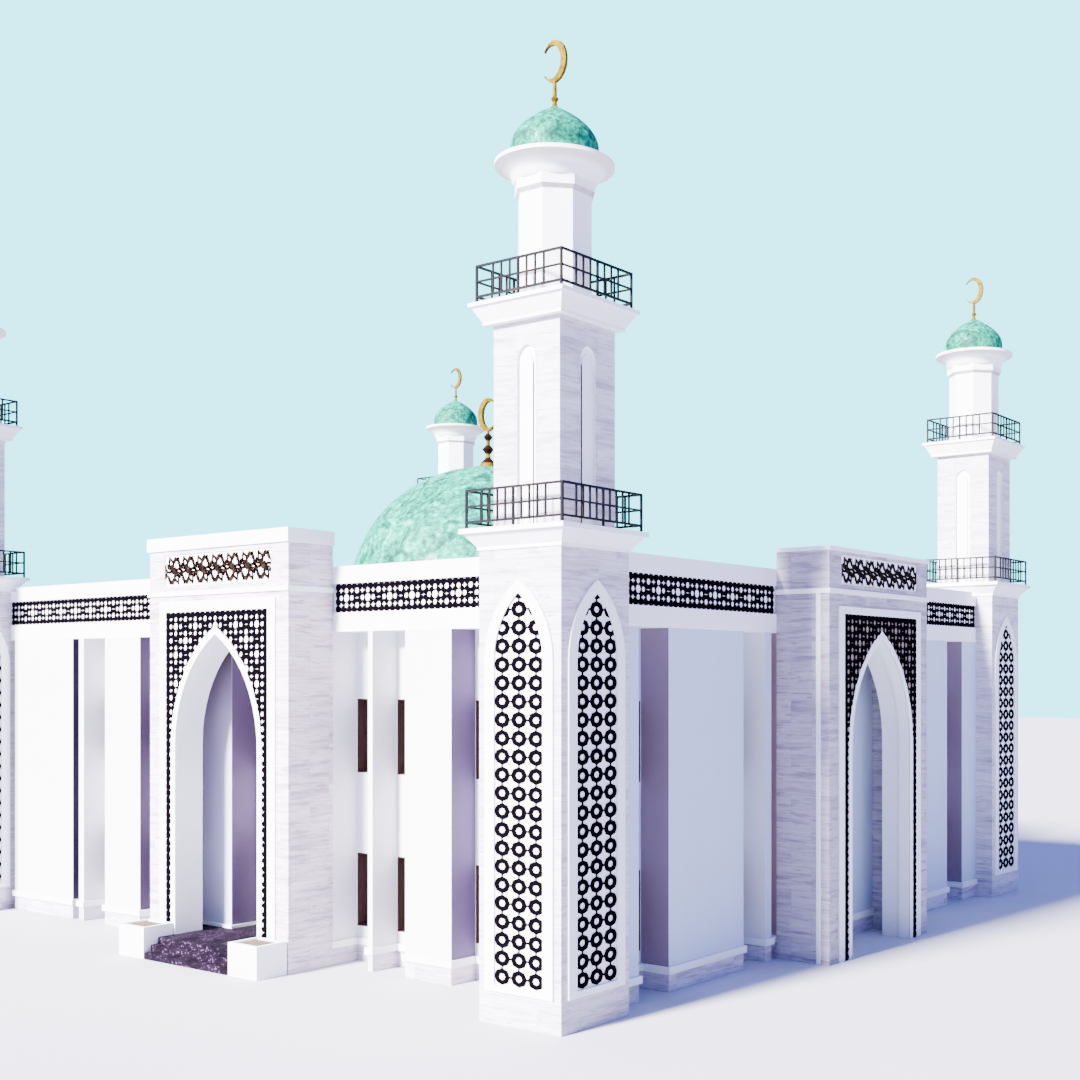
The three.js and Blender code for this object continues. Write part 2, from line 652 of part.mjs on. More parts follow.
addFacade('front', FRONT, 0, false);
addFacade('right', SIDE, 1, false);
addFacade('back', FRONT, 2, true);
addFacade('left', SIDE, 3, true);
addTower('front_right', 1, -1);
addTower('back_right', 1, 1);
addTower('back_left', -1, 1);
addTower('front_left', -1, -1);
place('floor_slab', floorSlab(), 'concrete');
place('upper_floor', upperFloor(), 'concrete');
place('roof_slab', roofSlab(), 'concrete');
place('dome_drum', domeDrum(), 'plaster');
place('main_dome', domeShell(DOME), 'tile');
place('dome_finial', finial(DOME_FINIAL, DOME, 1), 'gold');
place('entrance_steps', entranceSteps(), 'granite');
place('left_planter', planter(-1), 'plaster');
place('right_planter', planter(1), 'plaster');

export default building;
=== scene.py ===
"""Mosque building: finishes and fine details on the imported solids.

Lengths are metres, +Z is up and the front faces -Y. Each facade's details are modelled as on the
front, where x runs along the wall and -y points out of it, and are then turned into place.
"""
import math

import bpy
from mathutils import Matrix, Vector


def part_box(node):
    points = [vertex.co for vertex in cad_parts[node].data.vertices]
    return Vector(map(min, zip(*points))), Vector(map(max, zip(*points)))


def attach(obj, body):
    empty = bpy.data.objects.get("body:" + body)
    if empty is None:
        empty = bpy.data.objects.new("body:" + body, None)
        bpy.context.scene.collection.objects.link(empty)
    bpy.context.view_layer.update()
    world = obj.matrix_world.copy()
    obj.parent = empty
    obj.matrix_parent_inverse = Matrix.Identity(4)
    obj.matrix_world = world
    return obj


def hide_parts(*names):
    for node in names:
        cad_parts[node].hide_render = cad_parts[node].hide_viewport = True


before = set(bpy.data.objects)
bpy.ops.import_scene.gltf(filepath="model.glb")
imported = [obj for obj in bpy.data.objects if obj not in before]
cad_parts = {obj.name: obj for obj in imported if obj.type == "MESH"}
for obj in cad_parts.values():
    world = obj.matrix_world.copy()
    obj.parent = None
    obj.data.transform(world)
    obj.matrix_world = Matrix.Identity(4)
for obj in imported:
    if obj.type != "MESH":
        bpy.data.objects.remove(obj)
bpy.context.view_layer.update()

QUARTER = math.pi / 2
GAP = 0.0005
SUNK = 0.004

# Camera and light: each part of the sun has a name, a strength and the bounces its light takes
CAMERA = {"place": (31.24, -33.41, 7.2), "turn": 35.392, "sensor": 36, "lens": 46.91,
          "shift": (-0.1278, 0.1256), "sight": 500}
SUN = {"across": 0.162, "away": 0.987, "fall": 28, "width": 10, "colour": (1.0, 0.98, 0.95)}
SUN_PARTS = [("sun", 12, 0), ("passed_on_sun", 36, 1024)]
FILL = {"colour": (0.25, 0.34, 1.0), "strength": 1.5}
BACKDROP = {"colour": (0.14, 0.86, 1.0), "strength": 5.0}

# Minarets
TOWER_X, TOWER_Y = 12.0, 10.8
TOWERS = {"front_right": (TOWER_X, -TOWER_Y), "back_right": (TOWER_X, TOWER_Y),
          "back_left": (-TOWER_X, TOWER_Y), "front_left": (-TOWER_X, -TOWER_Y)}
SHAFT_HALF = 1.11
SHAFT_CORNICE = 9.8
PANEL = {"width": 1.32, "bottom": 0.83, "spring": 7.5, "apex": 8.9}
PANEL_PLATE = 0.006
RING = {"width": 0.425, "height": 0.345, "stroke": 0.268, "depth": 0.02}
RING_PITCH = (0.46, 0.377)
RING_ROWS = 22
LINK = (0.07, 0.036)
LINK_OFFSET = 0.001
MIDDLE_HALF = 0.9
MIDDLE_CORNICE = 14.489
SLOT_STRIP = {"width": 0.3, "bottom": 10.26, "spring": 13.62, "apex": 13.84}
SLOT_DEPTH = 0.07
STRIP_DEPTH = 0.035
STRIP_EASE = 0.008
LOWER_RAIL = {"side": 2.64, "bottom": 10.24, "height": 0.82, "bays": 12}
UPPER_RAIL = {"side": 2.34, "bottom": 14.94, "height": 0.80, "bays": 10}
RAIL_BAR = 0.045
THIN_BAR = 0.038
BAR_EASE = 0.003
LOW_BAR = 0.12
MIDDLE_RAIL = {"out": 0.004, "height": 0.036, "ease": 0.004}

# Lanterns and domes: AXIS is the least radius, which is closed to a point afterwards
AXIS = 0.001
ROUND_STEPS = 64
DOME_RINGS = 22
TURNED_CREASE = math.radians(28)
LANTERN = {"flats": 1.49, "wall": 0.16, "foot": 14.9403, "collar": 0.88,
           "collar_levels": (17.2, 17.28, 17.5)}
CAP = {"soffit": [(0.84, 17.48), (0.905, 17.56), (0.93, 17.64), (1.0, 17.71), (1.1, 17.77)],
       "rim": [(1.26, 17.85), (1.26, 17.93)], "bed": (0.96, 17.9497), "well": (0.7, 17.78)}
CUPOLA = {"radius": 0.93, "shell": 0.06, "bottom": 17.95, "spring": 18.25, "apex": 19.17,
          "seat": 0.09, "power": 2}
MAIN_DOME = {"radius": 4.36, "shell": 0.15, "bottom": 9.5003, "spring": 9.6, "apex": 13.9,
             "seat": 0.29, "power": 1}
FINIAL_BULBS = [(14.48, 0.13), (14.88, 0.11), (14.12, 0.09)]

# Facades: distances along each one from its middle, and depths from the plan's centre
FRONT = {
    "half": 10.89, "frieze": 9.83, "recess": 9.03, "centre": 1.17, "portal": 11.21,
    "panel": (9.52, 10.33), "lattice_top": 8.84, "band_apex": 8.47,
    "windows": [(-7.48, -7.16), (-6.91, -5.84), (-4.14, -1.6), (3.93, 5.22), (5.38, 6.51),
                (8.03, 10.77)],
    "middle": (-0.04, 2.38),
}
SIDE = {
    "half": 9.69, "frieze": 12.55, "recess": 11.75, "centre": 0.0, "portal": 14.08,
    "panel": (9.5, 10.24), "lattice_top": 8.76, "band_apex": 8.37,
    "windows": [(-8.6, -7.46), (-4.33, -3.32), (3.32, 4.33), (7.46, 8.6)],
    "middle": (-1.0, 1.0),
}
FRONT_WALLS = ("wall_left", "wall_right", "door_head", "window_head")
FACE = 0.004  # how near to a face its own paint reaches
PLINTH_TOP = 0.412
MOULDING = (0.408, 0.584)
REVEAL_HEIGHT = (0.581, 8.289)
NICHE_PIER = (-1.61, -0.03)
WINDOW_ROWS = [(0.87, 2.72), (4.75, 6.62)]
WINDOW_INSET = 0.025
GLASS_FACE = 0.31
WINDOW = {"sash": 0.055, "sash_depth": 0.06, "casing": 0.022, "casing_depth": 0.312,
          "bar": 0.04, "bar_depth": 0.05, "ease": 0.004, "lap": 0.005, "wide": 1.3}
FRIEZE = (8.76, 9.48)
FRIEZE_DEPTH = 0.06
FRIEZE_CLEARANCE = 0.005
ARCH_STEPS = 5
PORTAL_HALF = 2.78
COURSE_REACH = 0.05
COURSE = (9.258, 9.382)
COPINGS = {"front": 10.439, "side": 10.329}
SCREEN = {"half": 2.04, "reach": 0.02}
ARCH_BAND = {"width": 3.66, "bottom": -0.2, "spring": 5.4}
PASSAGE = {"half": 1.9, "top": 8.6}
ORNAMENT = {"width": 4.2, "depth": 0.03, "count": 7, "share": 1.36, "bottom": 9.45}
CURL = {"stroke": 0.06, "fine": 0.046, "stem": 0.048, "step": 0.3}
LEAF_TAPER = 1.3
RELIEF = 0.018

# Lattice: the columns and rows of each kind of eye in a repeat, its reach, and its shape, which
# is the profile of the bevel that opens it
LATTICE = {"pitch": 0.1875, "repeat": 4, "border": 0.04}
ROUND, SQUARE_ON_POINT, STARRED = 0.09, 0.5, 0.75
EYES = [({(0, 0), (2, 2)}, 0.098, ROUND), ({(2, 0), (0, 2)}, 0.092, STARRED),
        ({(1, 1), (1, 3), (3, 1), (3, 3)}, 0.086, SQUARE_ON_POINT),
        ({(1, 0), (0, 1), (3, 0), (0, 3)}, 0.074, ROUND),
        ({(1, 2), (2, 1), (3, 2), (2, 3)}, 0.066, ROUND)]
FRIEZE_LATTICE_DEPTH = 0.015
PORTAL_LATTICE_DEPTH = 0.022

# Doorway, side trims and planters
DOORWAY = {"half": 0.949, "lining": 0.049, "bottom": 0.5005, "top": 2.999, "into": 0.34,
           "out": 0.055, "ease": 0.006}
SIDE_TRIM = {"near": 13.71, "far": 13.84, "top": 9.259, "in": 0.01, "out": 0.02, "ease": 0.005}
TROUGH = {"wall": 0.0905, "level": 0.045, "heap": 0.05, "lump": 0.006, "soil": 0.06,
          "columns": 24, "rows": 16, "crease": math.radians(40)}

FLOOR = {"size": 400, "drop": 0.002}


def mirrored(facade):
    """The same facade with its left and right changed over, as the back one is."""
    swapped = [(-right, -left) for left, right in reversed(facade["windows"])]
    left, right = facade["middle"]
    return {**facade, "centre": -facade["centre"], "windows": swapped, "middle": (-right, -left)}


FACADES = {"front": (FRONT, 0), "right": (SIDE, 1), "back": (mirrored(FRONT), 2),
           "left": (mirrored(SIDE), 3)}


# Camera, floor and light

def set_camera():
    camera = bpy.data.objects.new("camera", bpy.data.cameras.new("camera"))
    bpy.context.scene.collection.objects.link(camera)
    camera.location = CAMERA["place"]
    camera.rotation_euler = (QUARTER, 0, math.radians(CAMERA["turn"]))
    camera.data.sensor_width = CAMERA["sensor"]
    camera.data.lens = CAMERA["lens"]
    camera.data.shift_x, camera.data.shift_y = CAMERA["shift"]
    camera.data.clip_end = CAMERA["sight"]
    bpy.context.scene.camera = camera


def background(tree, colour, strength):
    node = tree.nodes.new("ShaderNodeBackground")
    node.inputs["Color"].default_value = (*colour, 1)
    node.inputs["Strength"].default_value = strength
    return node


def set_light():
    """A soft low sun from the front left, a blue fill, and a pale backdrop for the camera.

    A part of the sunlight isn't passed on by what it falls on, so the shade stays cool.
    """
    fall = math.radians(SUN["fall"])
    direction = Vector((SUN["across"] * math.cos(fall), SUN["away"] * math.cos(fall),
                        -math.sin(fall)))
    for name, energy, bounces in SUN_PARTS:
        sun = bpy.data.objects.new(name, bpy.data.lights.new(name, "SUN"))
        bpy.context.scene.collection.objects.link(sun)
        sun.rotation_euler = direction.to_track_quat("-Z", "Y").to_euler()
        sun.data.energy = energy
        sun.data.angle = math.radians(SUN["width"])
        sun.data.color = SUN["colour"]
        sun.data.cycles.max_bounces = bounces
    world = bpy.data.worlds.new("studio")
    world.use_nodes = True
    tree = world.node_tree
    tree.nodes.clear()
    fill = background(tree, **FILL)
    backdrop = background(tree, **BACKDROP)
    ray = tree.nodes.new("ShaderNodeLightPath")
    either = tree.nodes.new("ShaderNodeMixShader")
    output = tree.nodes.new("ShaderNodeOutputWorld")
    tree.links.new(ray.outputs["Is Camera Ray"], either.inputs[0])
    tree.links.new(fill.outputs[0], either.inputs[1])
    tree.links.new(backdrop.outputs[0], either.inputs[2])
    tree.links.new(either.outputs[0], output.inputs["Surface"])
    bpy.context.scene.world = world


# Shader maths

def maths(operation):
    """A method of values that adds a Math node of this operation."""
    def method(value, *others):
        return value.finish.node("Math", {"operation": operation}, value, *others)
    return method


class Value:
    """A socket of a finish. Arithmetic on it adds Math nodes to the finish."""

    __add__ = __radd__ = maths("ADD")
    __sub__ = maths("SUBTRACT")
    __mul__ = __rmul__ = maths("MULTIPLY")
    __truediv__ = maths("DIVIDE")
    __gt__ = maths("GREATER_THAN")
    __lt__ = maths("LESS_THAN")
    __abs__ = maths("ABSOLUTE")
    either = maths("MAXIMUM")
    folded = maths("PINGPONG")

    def __init__(self, finish, socket):
        self.finish = finish
        self.socket = socket

    def __rsub__(self, other):
        return self.finish.node("Math", {"operation": "SUBTRACT"}, other, self)

    def near(self, level, reach):
        """1 where the value lies within reach of the level, and 0 elsewhere."""
        return abs(self - level) < reach

    def between(self, low, high):
        """1 where the value lies between the two levels, and 0 elsewhere."""
        return self.near((low + high) / 2, (high - low) / 2)

    def ease(self, low, high):
        """Runs smoothly from 0 at low to 1 at high."""
        settings = {"interpolation_type": "SMOOTHSTEP"}
        return self.finish.node("MapRange", settings, self, low, high, 0.0, 1.0)


class Finish:
    """A procedural material: a Principled surface and the nodes that feed it."""

    def __init__(self, name):
        self.material = bpy.data.materials.new(name)
        self.material.use_nodes = True
        self.tree = self.material.node_tree
        self.tree.nodes.clear()
        self.place = self.node("TexCoord", output="Object")
        self.x, self.y, self.z = (self.axis(self.place, name) for name in "XYZ")

    def node(self, kind, settings=None, *inputs, output=0, **named):
        """Adds a node, applies its settings, and sets or links its sockets."""
        node = self.tree.nodes.new("ShaderNode" + kind)
        for key, setting in (settings or {}).items():
            if key == "stops":
                self.set_stops(node.color_ramp, setting)
            else:
                setattr(node, key, setting)
        for key, value in [*enumerate(inputs), *named.items()]:
            self.feed(node.inputs[key.replace("_", " ") if isinstance(key, str) else key], value)
        return Value(self, node.outputs[output])

    def set_stops(self, ramp, stops):
        while len(ramp.elements) < len(stops):
            ramp.elements.new(1.0)
        for element, (position, colour) in zip(ramp.elements, stops):
            element.position = position
            element.color = (*colour, 1)

    def feed(self, socket, value):
        if isinstance(value, Value):
            self.tree.links.new(value.socket, socket)
        elif value is not None:
            bare = socket.type == "RGBA" and len(value) == 3
            socket.default_value = (*value, 1) if bare else value

    def axis(self, vector, name):
        return self.node("SeparateXYZ", {}, vector, output=name)

    def stretched(self, x, y, z):
        return self.node("VectorMath", {"operation": "MULTIPLY"}, self.place, (x, y, z))

    def vector(self, x, y, z):
        return self.node("CombineXYZ", {}, x, y, z)

    def noise(self, scale, detail=3.0, roughness=0.5, distortion=0.0, at=None):
        return self.node("TexNoise", {}, Vector=at or self.place, Scale=scale, Detail=detail,
                         Roughness=roughness, Distortion=distortion)

    def cells(self, scale, feature="F1", at=None, output="Distance"):
        return self.node("TexVoronoi", {"feature": feature}, Vector=at or self.place,
                         Scale=scale, output=output)

    def ramp(self, value, *stops):
        return self.node("ValToRGB", {"stops": stops}, value)

    def mix(self, share, first, second, how="MIX"):
        """The first colour, going to the second one by share."""
        node = self.tree.nodes.new("ShaderNodeMix")
        node.data_type = "RGBA"
        node.blend_type = how
        self.feed(node.inputs[0], share)
        self.feed(node.inputs[6], first)
        self.feed(node.inputs[7], second)
        return Value(self, node.outputs[2])

    def shade(self, colour, amount):
        """The colour made darker or lighter by a value around 1."""
        grey = self.node("CombineColor", {}, amount, amount, amount)
        return self.mix(1.0, colour, grey, "MULTIPLY")

    def surface(self, colour, roughness, height=None, bump=0.35, reach=0.012, metallic=0.0,
                coat=0.0, gloss=0.5):
        """Closes the finish; height is what its bump follows, gloss how much it mirrors."""
        normal = None if height is None else self.node(
            "Bump", {}, Strength=bump, Distance=reach, Height=height, output="Normal")
        shader = self.node("BsdfPrincipled", {}, Base_Color=colour, Roughness=roughness,
                           Metallic=metallic, Coat_Weight=coat, Specular_IOR_Level=gloss,
                           Normal=normal, output="BSDF")
        output = self.tree.nodes.new("ShaderNodeOutputMaterial")
        self.feed(output.inputs["Surface"], shader)
        return self.material


# Finishes

WALL_WHITE = (0.74, 0.74, 0.77)
# Painted shade: a blue white for the walls of the side facades
WALL_SHADE_BLUE = (0.50, 0.58, 0.74)
TRIM_WHITE = (0.89, 0.90, 0.93)
SOILED_FOOT = (0.40, 0.35, 0.38)
# Painted shade under the rim of the lantern's cap and under its collar
RIM_UNDER_SHADE = (0.60, 0.51, 0.50)
COLLAR_UNDER_SHADE = (0.34, 0.26, 0.29)
# Painted shade on the ground behind the side portals' lattice
SCREEN_GROUND_SHADE = (0.24, 0.18, 0.17)
STONE_GREY = (0.36, 0.305, 0.395)
STONE_PALE = (0.60, 0.545, 0.62)
STONE_WHITE = (0.74, 0.71, 0.76)
STONE_LEDGE = (0.25, 0.185, 0.25)
STONE_VEIN = (0.15, 0.09, 0.135)
STONE_JOINT = (0.17, 0.14, 0.20)
# Painted light and shade on the portal stone: the front pair lighter, the side pair darker
PORTAL_LIGHT_AND_SHADE = {"front": (1.12, 1.05, 1.06), "side": (0.73, 0.71, 0.76)}
# Painted shade in the front niche: pale blue low down to dark at the top
NICHE_PAINTED_SHADE = (0.25, (0.50, 0.50, 0.66)), (0.62, (0.34, 0.29, 0.42)), (0.78, (0.10, 0.06, 0.10))
LATTICE_BLACK = (0.0016, 0.0010, 0.0022)
LATTICE_WORN = (0.008, 0.0035, 0.003)
IRON_BLACK = (0.004, 0.003, 0.006)
IRON_RUST = (0.030, 0.010, 0.006)
TILE_JOINT = (0.002, 0.07, 0.06)
GILDING = (0.3, (0.040, 0.019, 0.0)), (0.6, (0.15, 0.095, 0.0))
# Painted dark reflection on the bulbs of the finial
BULB_DARK_REFLECTION = (0.012, 0.0028, 0.0018)
GLASS_BROWN = (0.034, 0.015, 0.016)
WINDOW_BROWN = (0.060, 0.027, 0.025)
GRANITE_FLAKE = (0.15, 0.10, 0.18)
GRANITE_SPECK = (0.04, 0.022, 0.05)
BAY_JOINT = (0.27, 0.27, 0.28)
FLOOR_GREY = (0.53, 0.52, 0.60)

# Painted shade on the reveals: each one's distance along the facade, how far it reaches, and its
# colour
LONG_REVEAL_SHADES = [(8.03, FACE, (0.12, 0.078, 0.175)), (-4.14, FACE, (0.045, 0.020, 0.068)),
                (-0.04, FACE, (0.10, 0.060, 0.135)), (-7.32, 0.166, (0.030, 0.014, 0.05))]
SHORT_REVEAL_SHADES = [(7.46, FACE, (0.25, 0.175, 0.25)), (8.6, FACE, (0.25, 0.175, 0.25)),
                 (2.865, 0.169, (0.40, 0.26, 0.30))]

# Painted shade under the rim of the cap and under the collar: where it starts, is full and ends,
# and its colour
LANTERN_UNDER_SHADE = [(17.70, 17.80, 17.852, RIM_UNDER_SHADE), (17.19, 17.205, 17.285, COLLAR_UNDER_SHADE)]


def plaster_look(finish, white=TRIM_WHITE):
    """Painted render with a fine stipple, faint runs of rain and a soiled foot."""
    cloud = finish.noise(0.55, 3.0)
    stipple = finish.noise(13.0, 4.0, 0.65)
    runs = finish.noise(1.0, 2.0, at=finish.stretched(4.0, 4.0, 0.22))
    foot = (1.0 - finish.z.ease(0.0, 0.9)) * finish.noise(3.2, 4.0)
    tone = 1.0 + (cloud - 0.5) * 0.06 + (stipple - 0.5) * 0.10 + (runs - 0.5) * 0.05
    colour = finish.shade(white, tone)
    colour = finish.mix(foot * 0.35, colour, SOILED_FOOT)
    height = stipple * 0.6 + finish.noise(46.0, 3.0, 0.7) * 0.4
    return colour, 0.74 + stipple * 0.16, height


def stone_look(finish, ledges=0.22):
    """Travertine slabs in courses, each with its own level veins and darker ledges."""
    along = finish.x + finish.y
    slabs = finish.node("TexBrick", {"offset": 0.5, "offset_frequency": 2},
                        Vector=finish.vector(along, finish.z, 0.0), Scale=1.0,
                        Color1=(0.0, 0.0, 0.0), Color2=(1.0, 1.0, 1.0), Mortar=(0.5, 0.5, 0.5),
                        Mortar_Size=0.004, Mortar_Smooth=0.2, Bias=0.0, Brick_Width=1.2,
                        Row_Height=0.6, output="Color")
    own = finish.axis(slabs, "X")
    joint = Value(finish, slabs.socket.node.outputs["Fac"])
    waver = finish.noise(0.8, 2.0) * 0.05
    level = finish.z + waver
    broad = finish.noise(1.0, 3.0, 0.55, at=finish.vector(along * 0.45, own * 7.0, level * 5.5))
    fine = finish.noise(1.0, 4.0, 0.6, at=finish.vector(along * 1.5, own * 9.0, level * 21.0))
    dash = finish.noise(1.0, 2.0, 0.5, at=finish.vector(along * 2.6, own * 4.0, level * 34.0))
    colour = finish.ramp(broad * 0.5 + fine * 0.5, (0.36, STONE_GREY), (0.50, STONE_PALE),
                         (0.68, STONE_WHITE))
    ledge = finish.noise(1.0, 3.0, 0.6, at=finish.vector(along * 0.8, own * 2.0, level * 6.0))
    vein = dash.ease(0.60, 0.72) * broad.ease(0.42, 0.6)
    colour = finish.mix(ledge.ease(0.55, 0.66) * ledges, colour, STONE_LEDGE)
    colour = finish.mix(vein * 0.75, colour, STONE_VEIN)
    colour = finish.shade(colour, 0.95 + own * 0.10)
    colour = finish.mix(joint * 0.5, colour, STONE_JOINT)
    height = fine * 0.5 - vein * 0.5 - joint
    return colour, 0.52 + fine * 0.25, height


def blended(finish, mask, first, second):
    """Two looks on one piece: the second one where the mask is 1."""
    colour = finish.mix(mask, first[0], second[0])
    roughness = first[1] * (1.0 - mask) + second[1] * mask
    height = first[2] * (1.0 - mask) + second[2] * mask
    return colour, roughness, height


def part_plaster(finish, white, stone=None):
    """Stone, with plaster where white is 1."""
    look = blended(finish, white, stone or stone_look(finish), plaster_look(finish))
    return finish.surface(*look, reach=0.01)


def off_tower(finish):
    """Distance from the axis of the nearest minaret, measured square."""
    return abs(abs(finish.x) - TOWER_X).either(abs(abs(finish.y) - TOWER_Y))


def plaster():
    finish = Finish("white_plaster")
    return finish.surface(*plaster_look(finish))


def reveal_painted_shade(finish, colour):
    """Painted shade on the reveals: violet and purple on the long facades, mauve on the short
    ones.
    """
    tall = finish.z.between(*REVEAL_HEIGHT)
    for out, along, facade, reveal_shades in ((finish.y, finish.x, FRONT, LONG_REVEAL_SHADES),
                                        (finish.x, abs(finish.y), SIDE, SHORT_REVEAL_SHADES)):
        sunk = abs(out).between(facade["recess"] + 0.001, facade["frieze"] - 0.011) * tall
        # Each colour is painted shade on the reveal that it covers
        for place, reach, paint in reveal_shades:
            colour = finish.mix(sunk * along.near(place, reach), colour, paint)
    return colour


def lantern_plaster():
    """Plaster, with a brown painted shade under the rim of the cap and under the collar."""
    finish = Finish("lantern_plaster")
    colour, roughness, height = plaster_look(finish)
    uneven_shade = 0.55 + finish.noise(5.0, 3.0) * 0.5
    # Painted shade, made patchy, under the rim and under the collar
    for start, full, end, painted_shade in LANTERN_UNDER_SHADE:
        under = finish.z.ease(start, full) * (finish.z < end)
        colour = finish.mix(under * uneven_shade, colour, painted_shade)
    return finish.surface(colour, roughness, height)


def wall_plaster():
    """Plaster over a stone plinth with a white moulding; painted shade on the reveals, the side
    facades and the niche pier.
    """
    finish = Finish("wall_plaster")
    colour, roughness, height = plaster_look(finish, WALL_WHITE)
    out = abs(finish.x)
    # Painted shade: the walls of the side facades take a blue white for their cool shade
    shaded_sides = (out > SIDE["frieze"] - FACE).either(out.near(SIDE["recess"], FACE))
    colour = finish.mix(shaded_sides, colour, plaster_look(finish, WALL_SHADE_BLUE)[0])
    # Painted shade on the front of the pier in the niche, darker towards the top
    shaded_pier = abs(finish.y).near(FRONT["frieze"], 0.006) * finish.x.between(*NICHE_PIER)
    colour = finish.mix(shaded_pier, colour, finish.ramp(finish.z / 10.0, *NICHE_PAINTED_SHADE))
    colour = finish.mix(finish.z.between(*MOULDING), colour, plaster_look(finish)[0])
    walls = reveal_painted_shade(finish, colour), roughness, height
    look = blended(finish, finish.z < PLINTH_TOP, walls, stone_look(finish))
    return finish.surface(*look)


def shaft_stone():
    """Stone, with plaster on the raised frames of the lattice panels and on the cornice."""
    finish = Finish("shaft_stone")
    raised = off_tower(finish) > SHAFT_HALF + 0.002
    return part_plaster(finish, raised.either(finish.z > SHAFT_CORNICE))


def middle_stone():
    """Stone, with plaster in the sunk slots and on the balcony."""
    finish = Finish("middle_stone")
    sunk = off_tower(finish) < MIDDLE_HALF - 0.005
    return part_plaster(finish, sunk.either(finish.z > MIDDLE_CORNICE))


def portal_stone(pair, along, centre):
    """Stone, with plaster on the string course, the coping, the ground of the ornament and in
    the passage under the arch; the front pair's stone is lighter as painted light, the side
    pair's darker as painted shade."""
    finish = Finish(f"{pair}_portal_stone")
    on_front = abs(finish.y).near(FRONT["portal"] - ORNAMENT["depth"], 0.005)
    on_side = abs(finish.x).near(SIDE["portal"] - ORNAMENT["depth"], 0.005)
    ground = on_front.either(on_side) * (finish.z > ORNAMENT["bottom"])
    passage = getattr(finish, along).near(centre, PASSAGE["half"]) * (finish.z < PASSAGE["top"])
    white = finish.z.between(*COURSE).either(ground).either(passage)
    colour, roughness, height = stone_look(finish, ledges=0.6)
    # Painted light on the front portals and painted shade on the side ones
    stone = finish.mix(1.0, colour, PORTAL_LIGHT_AND_SHADE[pair], "MULTIPLY"), roughness, height
    return part_plaster(finish, white.either(finish.z > COPINGS[pair]), stone)


def side_screen():
    """Plaster, with a brownish painted shade on the ground behind the lattice of a side portal.
    """
    finish = Finish("side_screen_shaded_plaster")
    ground = abs(finish.x).near(SIDE["portal"] + SCREEN["reach"], 0.006)
    colour, roughness, height = plaster_look(finish)
    # Painted shade: the ground behind the lattice is made brownish and darker
    colour = finish.mix(ground, colour, SCREEN_GROUND_SHADE)
    return finish.surface(colour, roughness, height, bump=0.3, reach=0.006)


def lattice_black():
    """Painted metal of the rings and lattices, worn a little brown."""
    finish = Finish("lattice_black")
    grain = finish.noise(16.0, 4.0, 0.6)
    colour = finish.mix(grain.ease(0.55, 0.75) * 0.5, LATTICE_BLACK, LATTICE_WORN)
    return finish.surface(colour, 0.70 + grain * 0.25, grain, 0.25, 0.004, gloss=0.0)


def dark_iron():
    finish = Finish("dark_iron")
    grain = finish.noise(22.0, 4.0, 0.6)
    rust = finish.noise(2.4, 4.0, 0.6).ease(0.55, 0.75)
    colour = finish.mix(rust * 0.8, IRON_BLACK, IRON_RUST)
    return finish.surface(colour, 0.45 + grain * 0.3, grain, 0.2, 0.003, gloss=0.12)


def green_tile(name, size, contrast, depth):
    """Small glazed tiles with cloudy streaks of deep and pale green, deeper as depth grows."""
    finish = Finish(name)
    cloud = finish.noise(size, 6.0, 0.68, 1.4)
    fleck = finish.noise(size * 4.5, 4.0, 0.65)
    tone = cloud * 0.6 + fleck * 0.4
    low, high = 0.5 - contrast, 0.5 + contrast
    colour = finish.ramp(tone, (low, (0.0, 0.026, 0.024)), (0.46, (0.0, 0.12, 0.078)),
                         (0.54, (0.0, 0.29, 0.185)), (high, (0.01 / depth, 0.60, 0.42)))
    joint = finish.cells(9.0, "DISTANCE_TO_EDGE").ease(0.0, 0.06)
    tile = finish.axis(finish.cells(9.0, output="Color"), "Y")
    colour = finish.shade(colour, (0.90 + tile * 0.2) / depth)
    colour = finish.mix((1.0 - joint) * 0.35, colour, TILE_JOINT)
    return finish.surface(colour, 0.42 + fleck * 0.3, joint + tile * 0.3, 0.25, 0.006,
                          coat=0.03, gloss=0.12)


def gilded(name, bulbs=()):
    """Gold, with a painted dark reflection round the levels of the bulbs."""
    finish = Finish(name)
    wear = finish.noise(9.0, 4.0, 0.6)
    colour = finish.ramp(wear, *GILDING)
    for level, reach in bulbs:
        # Painted reflection: the gold is darkened at each bulb's level
        colour = finish.mix(finish.z.near(level, reach), colour, BULB_DARK_REFLECTION)
    return finish.surface(colour, 0.40 + wear * 0.22, wear, 0.1, 0.003, metallic=0.15, gloss=0.05)


def dark_glass():
    """Tinted glass, a little uneven from pane to pane."""
    finish = Finish("dark_glass")
    tone = 0.8 + finish.axis(finish.cells(0.8, output="Color"), "X") * 0.4
    ripple = finish.noise(1.6, 2.0)
    colour = finish.shade(GLASS_BROWN, tone)
    return finish.surface(colour, 0.07 + ripple * 0.08, ripple, 0.08, 0.02)


def window_paint():
    finish = Finish("window_paint")
    grain = finish.noise(26.0, 3.0)
    colour = finish.shade(WINDOW_BROWN, 0.8 + grain * 0.4)
    return finish.surface(colour, 0.45 + grain * 0.2, grain, 0.15, 0.002, gloss=0.12)


def granite():
    """Dark granite with pale lilac flakes of many sizes."""
    finish = Finish("dark_granite")
    flake = finish.cells(15.0).ease(0.40, 0.10)
    speck = finish.cells(34.0).ease(0.34, 0.2)
    cloud = finish.noise(3.0, 4.0, 0.6)
    colour = finish.ramp(cloud, (0.35, (0.002, 0.0008, 0.003)), (0.65, (0.010, 0.004, 0.013)))
    colour = finish.mix(flake * cloud.ease(0.42, 0.54) * 0.85, colour, GRANITE_FLAKE)
    colour = finish.mix(speck * 0.3, colour, GRANITE_SPECK)
    return finish.surface(colour, 0.55 + cloud * 0.25, speck, 0.12, 0.002, gloss=0.04)


